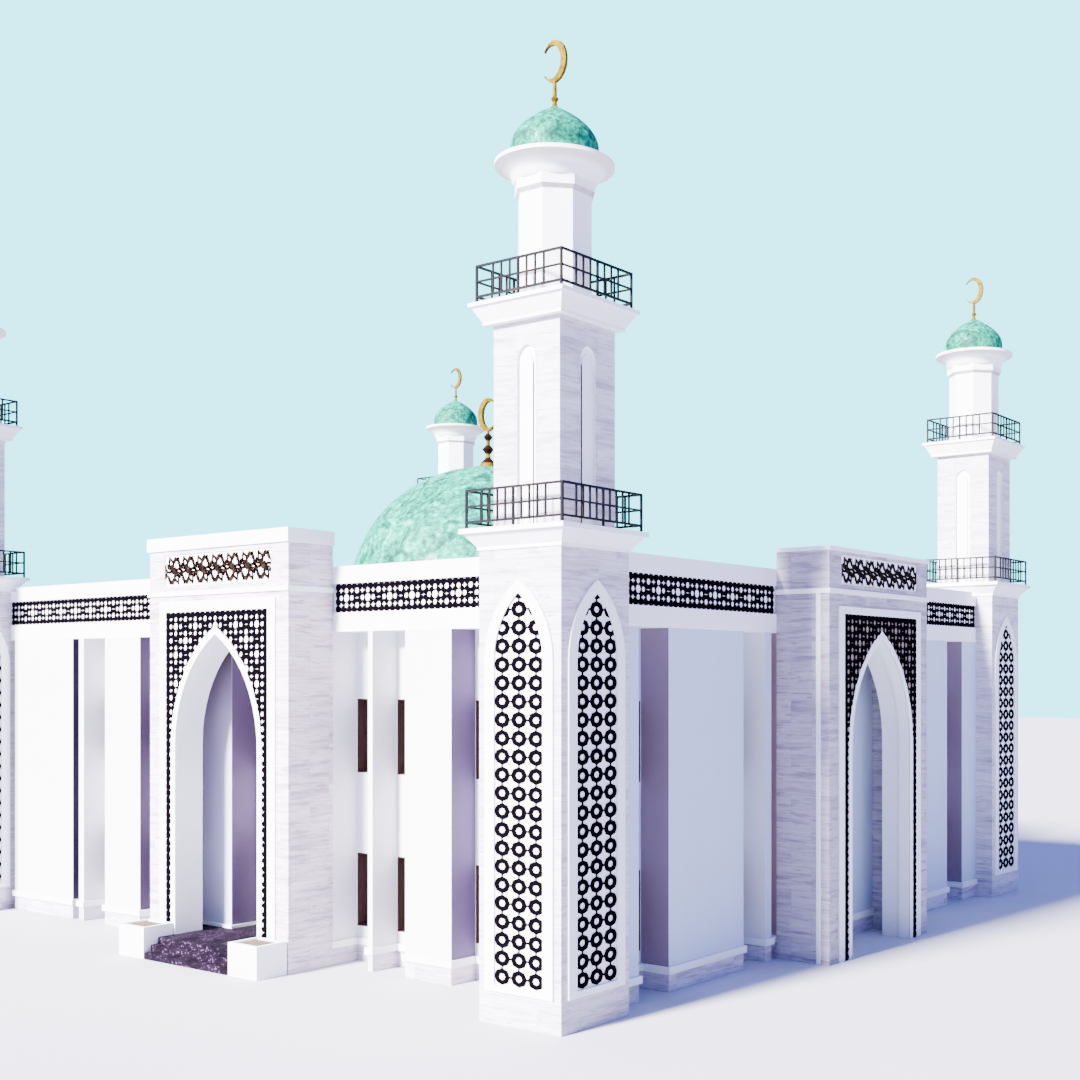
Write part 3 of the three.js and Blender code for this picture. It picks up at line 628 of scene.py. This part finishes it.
def concrete():
    """Screed on the floors and the roof, with faint bay joints."""
    finish = Finish("concrete")
    cloud = finish.noise(0.7, 5.0, 0.6)
    sand = finish.noise(40.0, 3.0, 0.7)
    joint = (finish.x.folded(1.5) < 0.012).either(finish.y.folded(1.5) < 0.012)
    colour = finish.ramp(cloud, (0.3, (0.50, 0.50, 0.51)), (0.7, (0.66, 0.655, 0.65)))
    colour = finish.shade(colour, 0.92 + sand * 0.16)
    colour = finish.mix(joint * 0.6, colour, BAY_JOINT)
    return finish.surface(colour, 0.75 + sand * 0.2, sand - joint, 0.35, 0.006)


def ornament_brown():
    finish = Finish("ornament_brown")
    grain = finish.noise(11.0, 4.0, 0.6)
    colour = finish.ramp(grain, (0.35, (0.002, 0.001, 0.0015)), (0.55, (0.010, 0.005, 0.004)),
                         (0.75, (0.05, 0.024, 0.010)))
    return finish.surface(colour, 0.65 + grain * 0.25, grain, 0.25, 0.004, gloss=0.02)


def soil():
    finish = Finish("planter_soil")
    crumb = finish.noise(28.0, 5.0, 0.7)
    clod = finish.cells(16.0)
    colour = finish.ramp(crumb * 0.6 + clod * 0.4, (0.25, (0.035, 0.02, 0.012)),
                         (0.6, (0.13, 0.08, 0.045)))
    return finish.surface(colour, 0.9 + crumb * 0.08, crumb + clod, 0.8, 0.02)


def pale_floor():
    finish = Finish("studio_floor")
    cloud = finish.noise(0.25, 3.0)
    colour = finish.shade(FLOOR_GREY, 0.98 + cloud * 0.04)
    return finish.surface(colour, 0.85)


# Modelling helpers

def take(piece):
    """Makes this piece the only one selected, and the active one."""
    bpy.ops.object.select_all(action="DESELECT")
    piece.select_set(True)
    bpy.context.view_layer.objects.active = piece
    return piece


def named(piece, name, size=None):
    """Names a piece and puts its place, turn and size into its mesh."""
    take(piece)
    if size is not None:
        piece.scale = size
    bpy.ops.object.transform_apply(location=True, rotation=True, scale=True)
    piece.name = name
    piece.data.name = name
    return piece


def edit(piece, select="SELECT", mode="FACE"):
    take(piece)
    bpy.ops.object.mode_set(mode="EDIT")
    bpy.ops.mesh.select_mode(type=mode)
    bpy.ops.mesh.select_all(action=select)


def leave():
    bpy.ops.object.mode_set(mode="OBJECT")


def pick(piece, kind, wanted):
    """In edit mode, selects the faces or vertices that the test wants, by their place."""
    leave()
    mesh = piece.data
    for part in (mesh.vertices, mesh.edges, mesh.polygons):
        part.foreach_set("select", [False] * len(part))
    for item in getattr(mesh, kind):
        item.select = wanted(item)
    bpy.ops.object.mode_set(mode="EDIT")


def framed(piece, width):
    """Leaves only a frame of this width of a flat piece."""
    edit(piece)
    bpy.ops.mesh.inset(thickness=width)
    bpy.ops.mesh.delete(type="FACE")
    leave()
    return piece


def finish_with(piece, kind, **settings):
    """Adds a modifier and applies it at once."""
    take(piece)
    modifier = piece.modifiers.new(kind.lower(), kind)
    for key, setting in settings.items():
        setattr(modifier, key, setting)
    bpy.ops.object.modifier_apply(modifier=modifier.name)
    return piece


def repeated(piece, count, step):
    """A row of the piece, each one a step on from the last."""
    return finish_with(piece, "ARRAY", count=count, use_relative_offset=False,
                       use_constant_offset=True, constant_offset_displace=step)


def copied(piece, name, matrix=None):
    """A copy with a mesh of its own, moved by the matrix in its mesh."""
    other = piece.copy()
    other.data = piece.data.copy()
    bpy.context.scene.collection.objects.link(other)
    if matrix is not None:
        other.data.transform(matrix)
    other.name = name
    other.data.name = name
    return other


def joined(pieces, name):
    take(pieces[0])
    for piece in pieces:
        piece.select_set(True)
    if len(pieces) > 1:
        bpy.ops.object.join()
    return named(pieces[0], name)


def removed(piece):
    bpy.data.objects.remove(piece, do_unlink=True)


def block(name, low, high, bevel=0.0):
    """A block between two corners, with its edges eased."""
    low, high = Vector(low), Vector(high)
    bpy.ops.mesh.primitive_cube_add(size=1, location=(low + high) / 2)
    piece = named(bpy.context.object, name, high - low)
    if bevel:
        finish_with(piece, "BEVEL", width=bevel, segments=1)
    return piece


def arch_cuts(width, bottom, spring, apex, steps=ARCH_STEPS):
    """The straight cuts that leave a pointed arch, each a point and the way out of the arch."""
    half, rise = width / 2, apex - spring
    offset = (rise * rise - half * half) / (2 * half)
    radius = half + offset
    sweep = math.asin(rise / radius)
    cuts = [((0, 0, bottom), (0, 0, -1))]
    for side in (-1, 1):
        cuts.append(((side * half, 0, 0), (side, 0, 0)))
        for step in range(steps):
            middle = (step + 0.5) * sweep / steps
            reach = radius * math.cos(sweep / steps / 2)
            way = (side * math.cos(middle), 0, math.sin(middle))
            place = (way[0] * reach - side * offset, 0, spring + way[2] * reach)
            cuts.append((place, way))
    return cuts


def cut_to(piece, cuts, fill=False, clear=True):
    """Cuts a piece along planes and keeps what lies inside them all."""
    edit(piece)
    for place, way in cuts:
        bpy.ops.mesh.select_all(action="SELECT")
        bpy.ops.mesh.bisect(plane_co=place, plane_no=way, use_fill=fill, clear_outer=clear)
    leave()
    return piece


def arch_block(name, near, far, steps=ARCH_STEPS, **arch):
    """A block cut to a pointed arch."""
    half = arch["width"] / 2
    piece = block(name, (-half, -far, arch["bottom"]), (half, -near, arch["apex"]))
    return cut_to(piece, arch_cuts(steps=steps, **arch), fill=True)


def turned_to(quarter):
    return Matrix.Rotation(quarter * QUARTER, 4, "Z")


def placed(piece, finish):
    """Gives a finished piece its material and the body that it rides on."""
    piece.data.materials.clear()
    piece.data.materials.append(finish)
    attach(piece, "root")


def on_minarets(*models, free_sides=False):
    """Copies of the models on the four sides of each minaret, or on all but the side that the
    building's side wall meets. A model comes with its part's name, its finish and its slot;
    the slot is not used."""
    for name, (x, y) in TOWERS.items():
        quarters = (0 if y < 0 else 2, 1, 3) if free_sides else range(4)
        for model, part, finish, slot in models:
            sides = [copied(model, part, Matrix.Translation((x, y, 0)) @ turned_to(quarter))
                     for quarter in quarters]
            placed(joined(sides, f"{name}_{part}"), finish)
    for model, *_ in models:
        removed(model)


def on_facade(parts, name, quarter, finish):
    """Joins parts that are modelled as on the front, and turns them to their own facade."""
    piece = joined(parts, name)
    piece.data.transform(turned_to(quarter))
    placed(piece, finish)


# Minaret panels

def ring_lattice():
    """Rings in three columns with short links, cut to the pointed opening."""
    bpy.ops.mesh.primitive_circle_add(vertices=8, radius=0.5, fill_type="NGON",
                                      rotation=(QUARTER, 0, 0))
    ring = framed(named(bpy.context.object, "ring"), RING["stroke"])
    named(ring, "ring", (RING["width"], 1, RING["height"]))
    across, up = RING_PITCH
    parts = [ring]
    for place, size in (((across / 2, 0), LINK), ((0, up / 2), LINK[::-1])):
        bpy.ops.mesh.primitive_plane_add(size=1, location=(place[0], LINK_OFFSET, place[1]),
                                         rotation=(QUARTER, 0, 0))
        parts.append(named(bpy.context.object, "link", (*size, 1)))
    lattice = joined(parts, "rings")
    repeated(lattice, 3, (across, 0, 0))
    repeated(lattice, RING_ROWS, (0, 0, up))
    lattice.location = (-across, -SHAFT_HALF - PANEL_PLATE, PANEL["bottom"] + up / 2)
    named(lattice, "rings")
    cut_to(lattice, arch_cuts(**PANEL))
    return finish_with(lattice, "SOLIDIFY", thickness=RING["depth"], offset=1)


def dress_shafts(black, white):
    rings = ring_lattice()
    plate = arch_block("plate", near=SHAFT_HALF - SUNK, far=SHAFT_HALF + PANEL_PLATE, **PANEL)
    on_minarets((rings, "panel_rings", black, "dark_iron"),
                (plate, "panel_grounds", white, "white_plaster"), free_sides=True)


def dress_slots(white):
    """A flat strip with a pointed head stands in each slot of the middle shafts."""
    back = MIDDLE_HALF - SLOT_DEPTH
    strip = arch_block("strip", near=back - SUNK, far=back + STRIP_DEPTH, **SLOT_STRIP)
    finish_with(strip, "BEVEL", width=STRIP_EASE, segments=2, limit_method="ANGLE")
    on_minarets((strip, "slot_strips", white, "white_plaster"))


# Lanterns and domes

def turned_piece(name, outline, steps, turn=0.0):
    """A circle drawn through the radius and level of each point of a closed outline."""
    radius, level = outline[0]
    bpy.ops.mesh.primitive_circle_add(vertices=steps, radius=radius, location=(0, 0, level),
                                      rotation=(0, 0, turn))
    piece = named(bpy.context.object, name)
    edit(piece, mode="EDGE")
    for wide, high in [*outline[1:], outline[0]]:
        bpy.ops.mesh.extrude_edges_move(TRANSFORM_OT_translate={"value": (0, 0, high - level)})
        bpy.ops.transform.resize(value=(wide / radius, wide / radius, 1),
                                 center_override=(0, 0, high))
        radius, level = wide, high
    bpy.ops.mesh.select_all(action="SELECT")
    bpy.ops.mesh.remove_doubles(threshold=2.5 * AXIS)
    bpy.ops.mesh.normals_make_consistent(inside=False)
    leave()
    bpy.ops.object.shade_smooth_by_angle(angle=TURNED_CREASE)
    return piece


def dome_outline(radius, shell, bottom, spring, apex, seat, power):
    """Up the outside of a dome to the flat that its finial stands on, and down the inside."""
    last = math.acos((seat / radius) ** (1 / power))
    outside, inside = [(radius, bottom)], [(radius - shell, bottom)]
    for ring in range(DOME_RINGS + 1):
        angle = ring / DOME_RINGS * last
        across, up = math.cos(angle) ** power, math.sin(angle)
        outside.append((radius * across, spring + (apex - spring) * up))
        inside.append(((radius - shell) * across, spring + (apex - shell - spring) * up))
    for wall in (outside, inside):
        wall.append((AXIS, wall[-1][1]))
    return outside + inside[::-1]


def lantern():
    """An eight-sided column with a collar, under a round cap with a hollow in its underside."""
    corner = math.cos(math.pi / 8)
    outer = LANTERN["flats"] / 2 / corner
    inner = outer - LANTERN["wall"] / corner
    foot, (low, slope, top) = LANTERN["foot"], LANTERN["collar_levels"]
    column = turned_piece("column", [(inner, foot), (outer, foot), (outer, low),
                                     (LANTERN["collar"], slope), (LANTERN["collar"], top),
                                     (inner, top)], 8, math.pi / 8)
    bore, ceiling = CAP["well"]
    cap = turned_piece("cap", [(bore, CAP["soffit"][0][1]), *CAP["soffit"], *CAP["rim"],
                               CAP["bed"], (AXIS, CAP["bed"][1]), (AXIS, ceiling),
                               (bore, ceiling)], ROUND_STEPS)
    return joined([column, cap], "lantern")


def dress_crowns(white, cupola_tile, dome_tile):
    """Round pieces in place of the faceted lanterns, cupolas and main dome."""
    models = (("lantern", lantern(), white, "white_plaster"),
              ("cupola", turned_piece("cupola", dome_outline(**CUPOLA), ROUND_STEPS),
               cupola_tile, "green_tile"))
    for part, model, finish, slot in models:
        for name, (x, y) in TOWERS.items():
            piece = copied(model, f"{name}_round_{part}", Matrix.Translation((x, y, 0)))
            placed(piece, finish)
            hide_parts(f"{name}_{part}")
        removed(model)
    dome = turned_piece("round_main_dome", dome_outline(**MAIN_DOME), 2 * ROUND_STEPS)
    placed(dome, dome_tile)
    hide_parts("main_dome")


# Railings

def rail_side(rail):
    """The thin bars and the middle rail of one side; the bay at each corner stays open."""
    half, bays = rail["side"] / 2, rail["bays"]
    pitch = (rail["side"] - RAIL_BAR) / bays
    bottom = rail["bottom"] + LOW_BAR
    top = rail["bottom"] + rail["height"] - RAIL_BAR
    outer = (RAIL_BAR - THIN_BAR) / 2 - half
    parts = []
    for first in (2, bays // 2 + 1):
        start = outer + first * pitch
        bar = block("bar", (start, outer, bottom), (start + THIN_BAR, outer + THIN_BAR, top),
                    BAR_EASE)
        parts.append(repeated(bar, bays // 2 - 2, (pitch, 0, 0)))
    level, out = (bottom + top) / 2, MIDDLE_RAIL["out"]
    parts.append(block("middle_rail", (-half + RAIL_BAR, outer - out, level),
                       (half - RAIL_BAR, outer + THIN_BAR + out, level + MIDDLE_RAIL["height"]),
                       MIDDLE_RAIL["ease"]))
    return joined(parts, "rail_side")


def dress_railings(iron):
    for part, rail in (("lower_bars", LOWER_RAIL), ("upper_bars", UPPER_RAIL)):
        on_minarets((rail_side(rail), part, iron, "dark_iron"))


# Lattice of the friezes and portals

def lattice_field(left, right, bottom, top):
    """Flat straps: a grid whose crossings are opened into round and star-shaped eyes."""
    repeat = LATTICE["repeat"]
    columns = repeat * round((right - left) / LATTICE["pitch"] / repeat)
    rows = repeat * round((top - bottom) / LATTICE["pitch"] / repeat)
    across, up = (right - left) / columns, (top - bottom) / rows
    bpy.ops.mesh.primitive_grid_add(
        x_subdivisions=columns + 2, y_subdivisions=rows + 2, size=1, rotation=(QUARTER, 0, 0),
        location=((left + right) / 2, 0, (bottom + top) / 2))
    field = named(bpy.context.object, "lattice_field",
                  (across * (columns + 2), up * (rows + 2), 1))

    def is_crossing(place, kind):
        column, row = (place.x - left) / across, (place.z - bottom) / up
        if abs(column - round(column)) + abs(row - round(row)) > 0.05:
            return False
        column, row = round(column), round(row)
        if not (0 <= column <= columns and 0 <= row <= rows):
            return False
        on_border = column in (0, columns) or row in (0, rows)
        return on_border if kind is None else (
            not on_border and (column % repeat, row % repeat) in kind)

    for kind, reach, roundness in [*EYES, (None, LATTICE["border"], ROUND)]:
        edit(field, "DESELECT", "VERT")
        pick(field, "vertices", lambda vertex: is_crossing(vertex.co, kind))
        bpy.ops.mesh.bevel(affect="VERTICES", offset=reach, segments=2, profile=roundness)
        pick(field, "vertices", lambda vertex: is_crossing(vertex.co, kind))
        bpy.ops.mesh.delete(type="VERT")
        leave()
    sides = [((left, 0, 0), (-1, 0, 0)), ((right, 0, 0), (1, 0, 0)),
             ((0, 0, bottom), (0, 0, -1)), ((0, 0, top), (0, 0, 1))]
    return cut_to(field, sides)


def thickened(flat, depth, face):
    """A flat sheet in the plane y = 0 given its depth, and set out from the plan's centre."""
    finish_with(flat, "SOLIDIFY", thickness=depth, offset=1)
    flat.data.transform(Matrix.Translation((0, -face, 0)))
    return flat


def dress_friezes(black):
    for name, (facade, quarter) in FACADES.items():
        edge = PORTAL_HALF + COURSE_REACH + FRIEZE_CLEARANCE
        spans = [(-facade["half"], facade["centre"] - edge),
                 (facade["centre"] + edge, facade["half"])]
        frieze = joined([lattice_field(*span, *FRIEZE) for span in spans], "frieze")
        thickened(frieze, FRIEZE_LATTICE_DEPTH, facade["frieze"] - FRIEZE_DEPTH + GAP)
        on_facade([frieze], f"{name}_frieze", quarter, black)


def portal_lattice(facade):
    """The field round the arch, left out where the arch and its band stand."""
    field = lattice_field(-SCREEN["half"], SCREEN["half"], 0.0, facade["lattice_top"])
    cuts = arch_cuts(apex=facade["band_apex"], **ARCH_BAND)[1:]
    cut_to(field, cuts, clear=False)
    edit(field, "DESELECT", "FACE")
    pick(field, "polygons", lambda face: all(
        (face.center - Vector(place)).dot(Vector(way)) < 0 for place, way in cuts))
    bpy.ops.mesh.delete(type="FACE")
    leave()
    return thickened(field, PORTAL_LATTICE_DEPTH, 0.0)


def dress_portals(black):
    for pair in (("front", "back"), ("right", "left")):
        field = portal_lattice(FACADES[pair[0]][0])
        for name in pair:
            facade, quarter = FACADES[name]
            face = facade["portal"] + SCREEN["reach"] + GAP
            matrix = turned_to(quarter) @ Matrix.Translation((facade["centre"], -face, 0))
            placed(copied(field, f"{name}_portal_lattice", matrix), black)
        removed(field)


# Ornament over the portals

CURLS = [(0.155, 0.5, 1.55, (-0.16, 0.12), "stroke"), (0.075, 0.1, 1.3, (-0.15, 0.12), "fine"),
         (0.155, -0.5, 1.55, (0.20, -0.12), "stroke"), (0.075, 1.1, 1.3, (0.19, -0.12), "fine"),
         (0.36, 0.30, 0.4, (-0.16, -0.22), "stem"), (0.36, 1.30, 0.4, (0.20, 0.22), "stem")]
LEAVES = [((0.05, 0.24), 0.22, 0.12, 0.5), ((0.0, -0.24), 0.22, 0.12, 0.5),
          ((0.20, 0.20), 0.24, 0.12, -0.5), ((-0.16, -0.20), 0.24, 0.12, -0.5),
          ((-0.15, 0.12), 0.08, 0.10, 0.2), ((0.19, -0.12), 0.08, 0.10, 0.2),
          ((0.02, 0.0), 0.17, 0.11, 0.35), ((-0.28, -0.10), 0.18, 0.10, 0.2),
          ((0.32, 0.10), 0.18, 0.10, 0.2), ((-0.10, -0.27), 0.15, 0.10, 0.9),
          ((0.16, 0.27), 0.15, 0.10, 0.9)]


def curl(radius, start, sweep, centre, stroke):
    """A flat curl: a small upright section spun round a centre, from start on by sweep, both in
    half turns."""
    start, sweep = start * math.pi, sweep * math.pi
    x = centre[0] + radius * math.cos(start)
    z = centre[1] + radius * math.sin(start)
    bpy.ops.mesh.primitive_plane_add(size=1, location=(x, 0, z), rotation=(0, -start, 0))
    piece = named(bpy.context.object, "curl", (CURL[stroke], RELIEF, 1))
    steps = max(4, round(sweep / CURL["step"]))
    edit(piece)
    bpy.ops.mesh.spin(steps=steps, angle=-sweep, center=(centre[0], 0, centre[1]),
                      axis=(0, 1, 0))
    bpy.ops.mesh.select_all(action="SELECT")
    bpy.ops.mesh.normals_make_consistent(inside=False)
    leave()
    return piece


def leaf(centre, length, width, lean):
    """A pointed leaf: a flat disc drawn long, its ends drawn in."""
    bpy.ops.mesh.primitive_cylinder_add(vertices=10, radius=0.5, depth=RELIEF,
                                        rotation=(QUARTER, 0, 0))
    piece = named(bpy.context.object, "leaf")
    for vertex in piece.data.vertices:
        vertex.co.x *= 1.0 - abs(vertex.co.z) * LEAF_TAPER
    piece.scale = (width, 1, length)
    piece.rotation_euler = (0, lean, 0)
    piece.location = (centre[0], 0, centre[1])
    return named(piece, "leaf")


def scroll_unit(size):
    """A vine that curls up and down, with leaves and berries."""
    parts = [curl(*sizes) for sizes in CURLS] + [leaf(*sizes) for sizes in LEAVES]
    unit = joined(parts, "scroll")
    unit.scale = (size, 1, size)
    return named(unit, "scroll")


def dress_ornaments(brown):
    for name, (facade, quarter) in FACADES.items():
        bottom, top = facade["panel"]
        count = ORNAMENT["count"]
        pitch = ORNAMENT["width"] / count
        first = facade["centre"] - (count - 1) / 2 * pitch
        face = facade["portal"] - ORNAMENT["depth"] + RELIEF / 2
        vine = repeated(scroll_unit((top - bottom) * ORNAMENT["share"]), count, (pitch, 0, 0))
        vine.data.transform(Matrix.Translation((first, -face, (bottom + top) / 2)))
        on_facade([vine], f"{name}_ornament", quarter, brown)


# Windows, doorway, trims and planters

def window_frame(left, right, bottom, top, glass):
    """A casing that lines the reveal, a sash on the glass, a transom, and a mullion if wide."""
    bpy.ops.mesh.primitive_plane_add(size=1, rotation=(QUARTER, 0, 0),
                                     location=((left + right) / 2, -glass, (bottom + top) / 2))
    sash = named(bpy.context.object, "sash", (right - left, top - bottom, 1))
    casing = copied(sash, "casing")
    parts = []
    for piece, width, depth in ((sash, WINDOW["sash"], WINDOW["sash_depth"]),
                                (casing, WINDOW["casing"], WINDOW["casing_depth"])):
        parts.append(finish_with(framed(piece, width), "SOLIDIFY", thickness=depth, offset=1))
    middle, half = (bottom + top) / 2, WINDOW["bar"] / 2
    near, far = -glass - WINDOW["bar_depth"], -glass - GAP
    edge = WINDOW["sash"] - WINDOW["lap"]
    parts.append(block("transom", (left + edge, near, middle - half),
                       (right - edge, far, middle + half), WINDOW["ease"]))
    if right - left > WINDOW["wide"]:
        centre = (left + right) / 2
        parts.append(block("mullion", (centre - half, near, bottom + edge),
                           (centre + half, far, top - edge), WINDOW["ease"]))
    return parts


def dress_windows(paint):
    for name, (facade, quarter) in FACADES.items():
        glass = facade["recess"] - GLASS_FACE + 2 * GAP
        openings = [(span, row) for span in facade["windows"] for row in WINDOW_ROWS]
        openings.append((facade["middle"], WINDOW_ROWS[1]))
        if name != "front":
            openings.append((facade["middle"], WINDOW_ROWS[0]))
        parts = []
        for (left, right), (bottom, top) in openings:
            parts += window_frame(left + WINDOW_INSET, right - WINDOW_INSET, bottom, top, glass)
        on_facade(parts, f"{name}_window_frames", quarter, paint)


def dress_doorway(paint):
    """A lining on both sides and over the open doorway."""
    inner, outer = FRONT["recess"] - DOORWAY["into"], FRONT["recess"] + DOORWAY["out"]
    left, right = FRONT["centre"] - DOORWAY["half"], FRONT["centre"] + DOORWAY["half"]
    bottom, top, lining = DOORWAY["bottom"], DOORWAY["top"], DOORWAY["lining"]
    parts = [block(name, (low, -outer, foot), (high, -inner, top), DOORWAY["ease"])
             for name, low, high, foot in (("jamb", left, left + lining, bottom),
                                           ("jamb", right - lining, right, bottom),
                                           ("head", left + lining, right - lining, top - lining))]
    placed(joined(parts, "door_lining"), paint)


def dress_side_trims(white):
    """A white strip down each flank of the side portals, behind the front slab."""
    near, far, top = SIDE_TRIM["near"], SIDE_TRIM["far"], SIDE_TRIM["top"]
    inward, outward = PORTAL_HALF - SIDE_TRIM["in"], PORTAL_HALF + SIDE_TRIM["out"]
    for name, quarter in (("right", 1), ("left", 3)):
        trims = [block("trim", (left, -far, 0.0), (right, -near, top), SIDE_TRIM["ease"])
                 for left, right in ((-outward, -inward), (inward, outward))]
        on_facade(trims, f"{name}_portal_trims", quarter, white)


def dress_planters(earth):
    """Soil heaped a little towards the middle of each trough."""
    for name in ("left", "right"):
        low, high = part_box(f"{name}_planter")
        wall = TROUGH["wall"]
        size = Vector((high.x - low.x - 2 * wall, high.y - low.y - 2 * wall))
        middle = (low + high) / 2
        bpy.ops.mesh.primitive_grid_add(
            x_subdivisions=TROUGH["columns"], y_subdivisions=TROUGH["rows"], size=1,
            location=(middle.x, middle.y, high.z - TROUGH["level"]))
        bed = named(bpy.context.object, f"{name}_planter_soil", (size.x, size.y, 1))
        for vertex in bed.data.vertices:
            edge = max(abs(vertex.co.x - middle.x) / size.x, abs(vertex.co.y - middle.y) / size.y)
            lump = math.sin(vertex.co.x * 31) * math.cos(vertex.co.y * 27) * TROUGH["lump"]
            vertex.co.z += (0.5 - edge) * TROUGH["heap"] + lump * (1 - 2 * edge)
        finish_with(bed, "SOLIDIFY", thickness=TROUGH["soil"], offset=-1)
        bpy.ops.object.shade_smooth_by_angle(angle=TROUGH["crease"])
        placed(bed, earth)


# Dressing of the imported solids

def paint_node(node, finish):
    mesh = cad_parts[node].data
    mesh.materials.clear()
    mesh.materials.append(finish)


def paint_solids():
    walls = wall_plaster()
    portals = {"front": portal_stone("front", "x", FRONT["centre"]),
               "side": portal_stone("side", "y", SIDE["centre"])}
    screens = {"front": WHITE, "side": side_screen()}
    glass = dark_glass()
    tower = {"tower_shaft": shaft_stone(), "tower_middle": middle_stone(), "lantern": WHITE,
             "cupola": CUPOLA_TILE, "crescent": GOLD, "lower_railing": IRON,
             "upper_railing": IRON}
    for name in FACADES:
        parts = FRONT_WALLS if name == "front" else ("wall",)
        for part in parts:
            paint_node(f"{name}_{part}", walls)
        paint_node(f"{name}_glazing", glass)
        paint_node(f"{name}_parapet", WHITE)
        pair = "front" if name in ("front", "back") else "side"
        paint_node(f"{name}_portal", portals[pair])
        paint_node(f"{name}_portal_screen", screens[pair])
    for name in TOWERS:
        for part, finish in tower.items():
            paint_node(f"{name}_{part}", finish)
    for node, finish in (("floor_slab", SCREED), ("upper_floor", SCREED), ("roof_slab", SCREED),
                         ("dome_drum", WHITE), ("main_dome", DOME_TILE),
                         ("dome_finial", gilded("dome_gold", FINIAL_BULBS)),
                         ("entrance_steps", granite()),
                         ("left_planter", WHITE), ("right_planter", WHITE)):
        paint_node(node, finish)


def lay_floor():
    bpy.ops.mesh.primitive_plane_add(size=FLOOR["size"], location=(0, 0, -FLOOR["drop"]))
    floor = named(bpy.context.object, "studio_floor")
    floor.data.materials.append(pale_floor())


set_camera()
set_light()
WHITE = plaster()
IRON = dark_iron()
GOLD = gilded("gold")
SCREED = concrete()
DOME_TILE = green_tile("dome_tile", 1.5, 0.13, 1.0)
CUPOLA_TILE = green_tile("cupola_tile", 2.6, 0.15, 1.35)
LATTICE_PAINT = lattice_black()
WINDOW_PAINT = window_paint()
paint_solids()
dress_shafts(LATTICE_PAINT, WHITE)
dress_slots(WHITE)
dress_crowns(lantern_plaster(), CUPOLA_TILE, DOME_TILE)
dress_railings(IRON)
dress_friezes(LATTICE_PAINT)
dress_portals(LATTICE_PAINT)
dress_ornaments(ornament_brown())
dress_windows(WINDOW_PAINT)
dress_doorway(WINDOW_PAINT)
dress_side_trims(WHITE)
dress_planters(soil())
lay_floor()

bpy.context.view_layer.update()
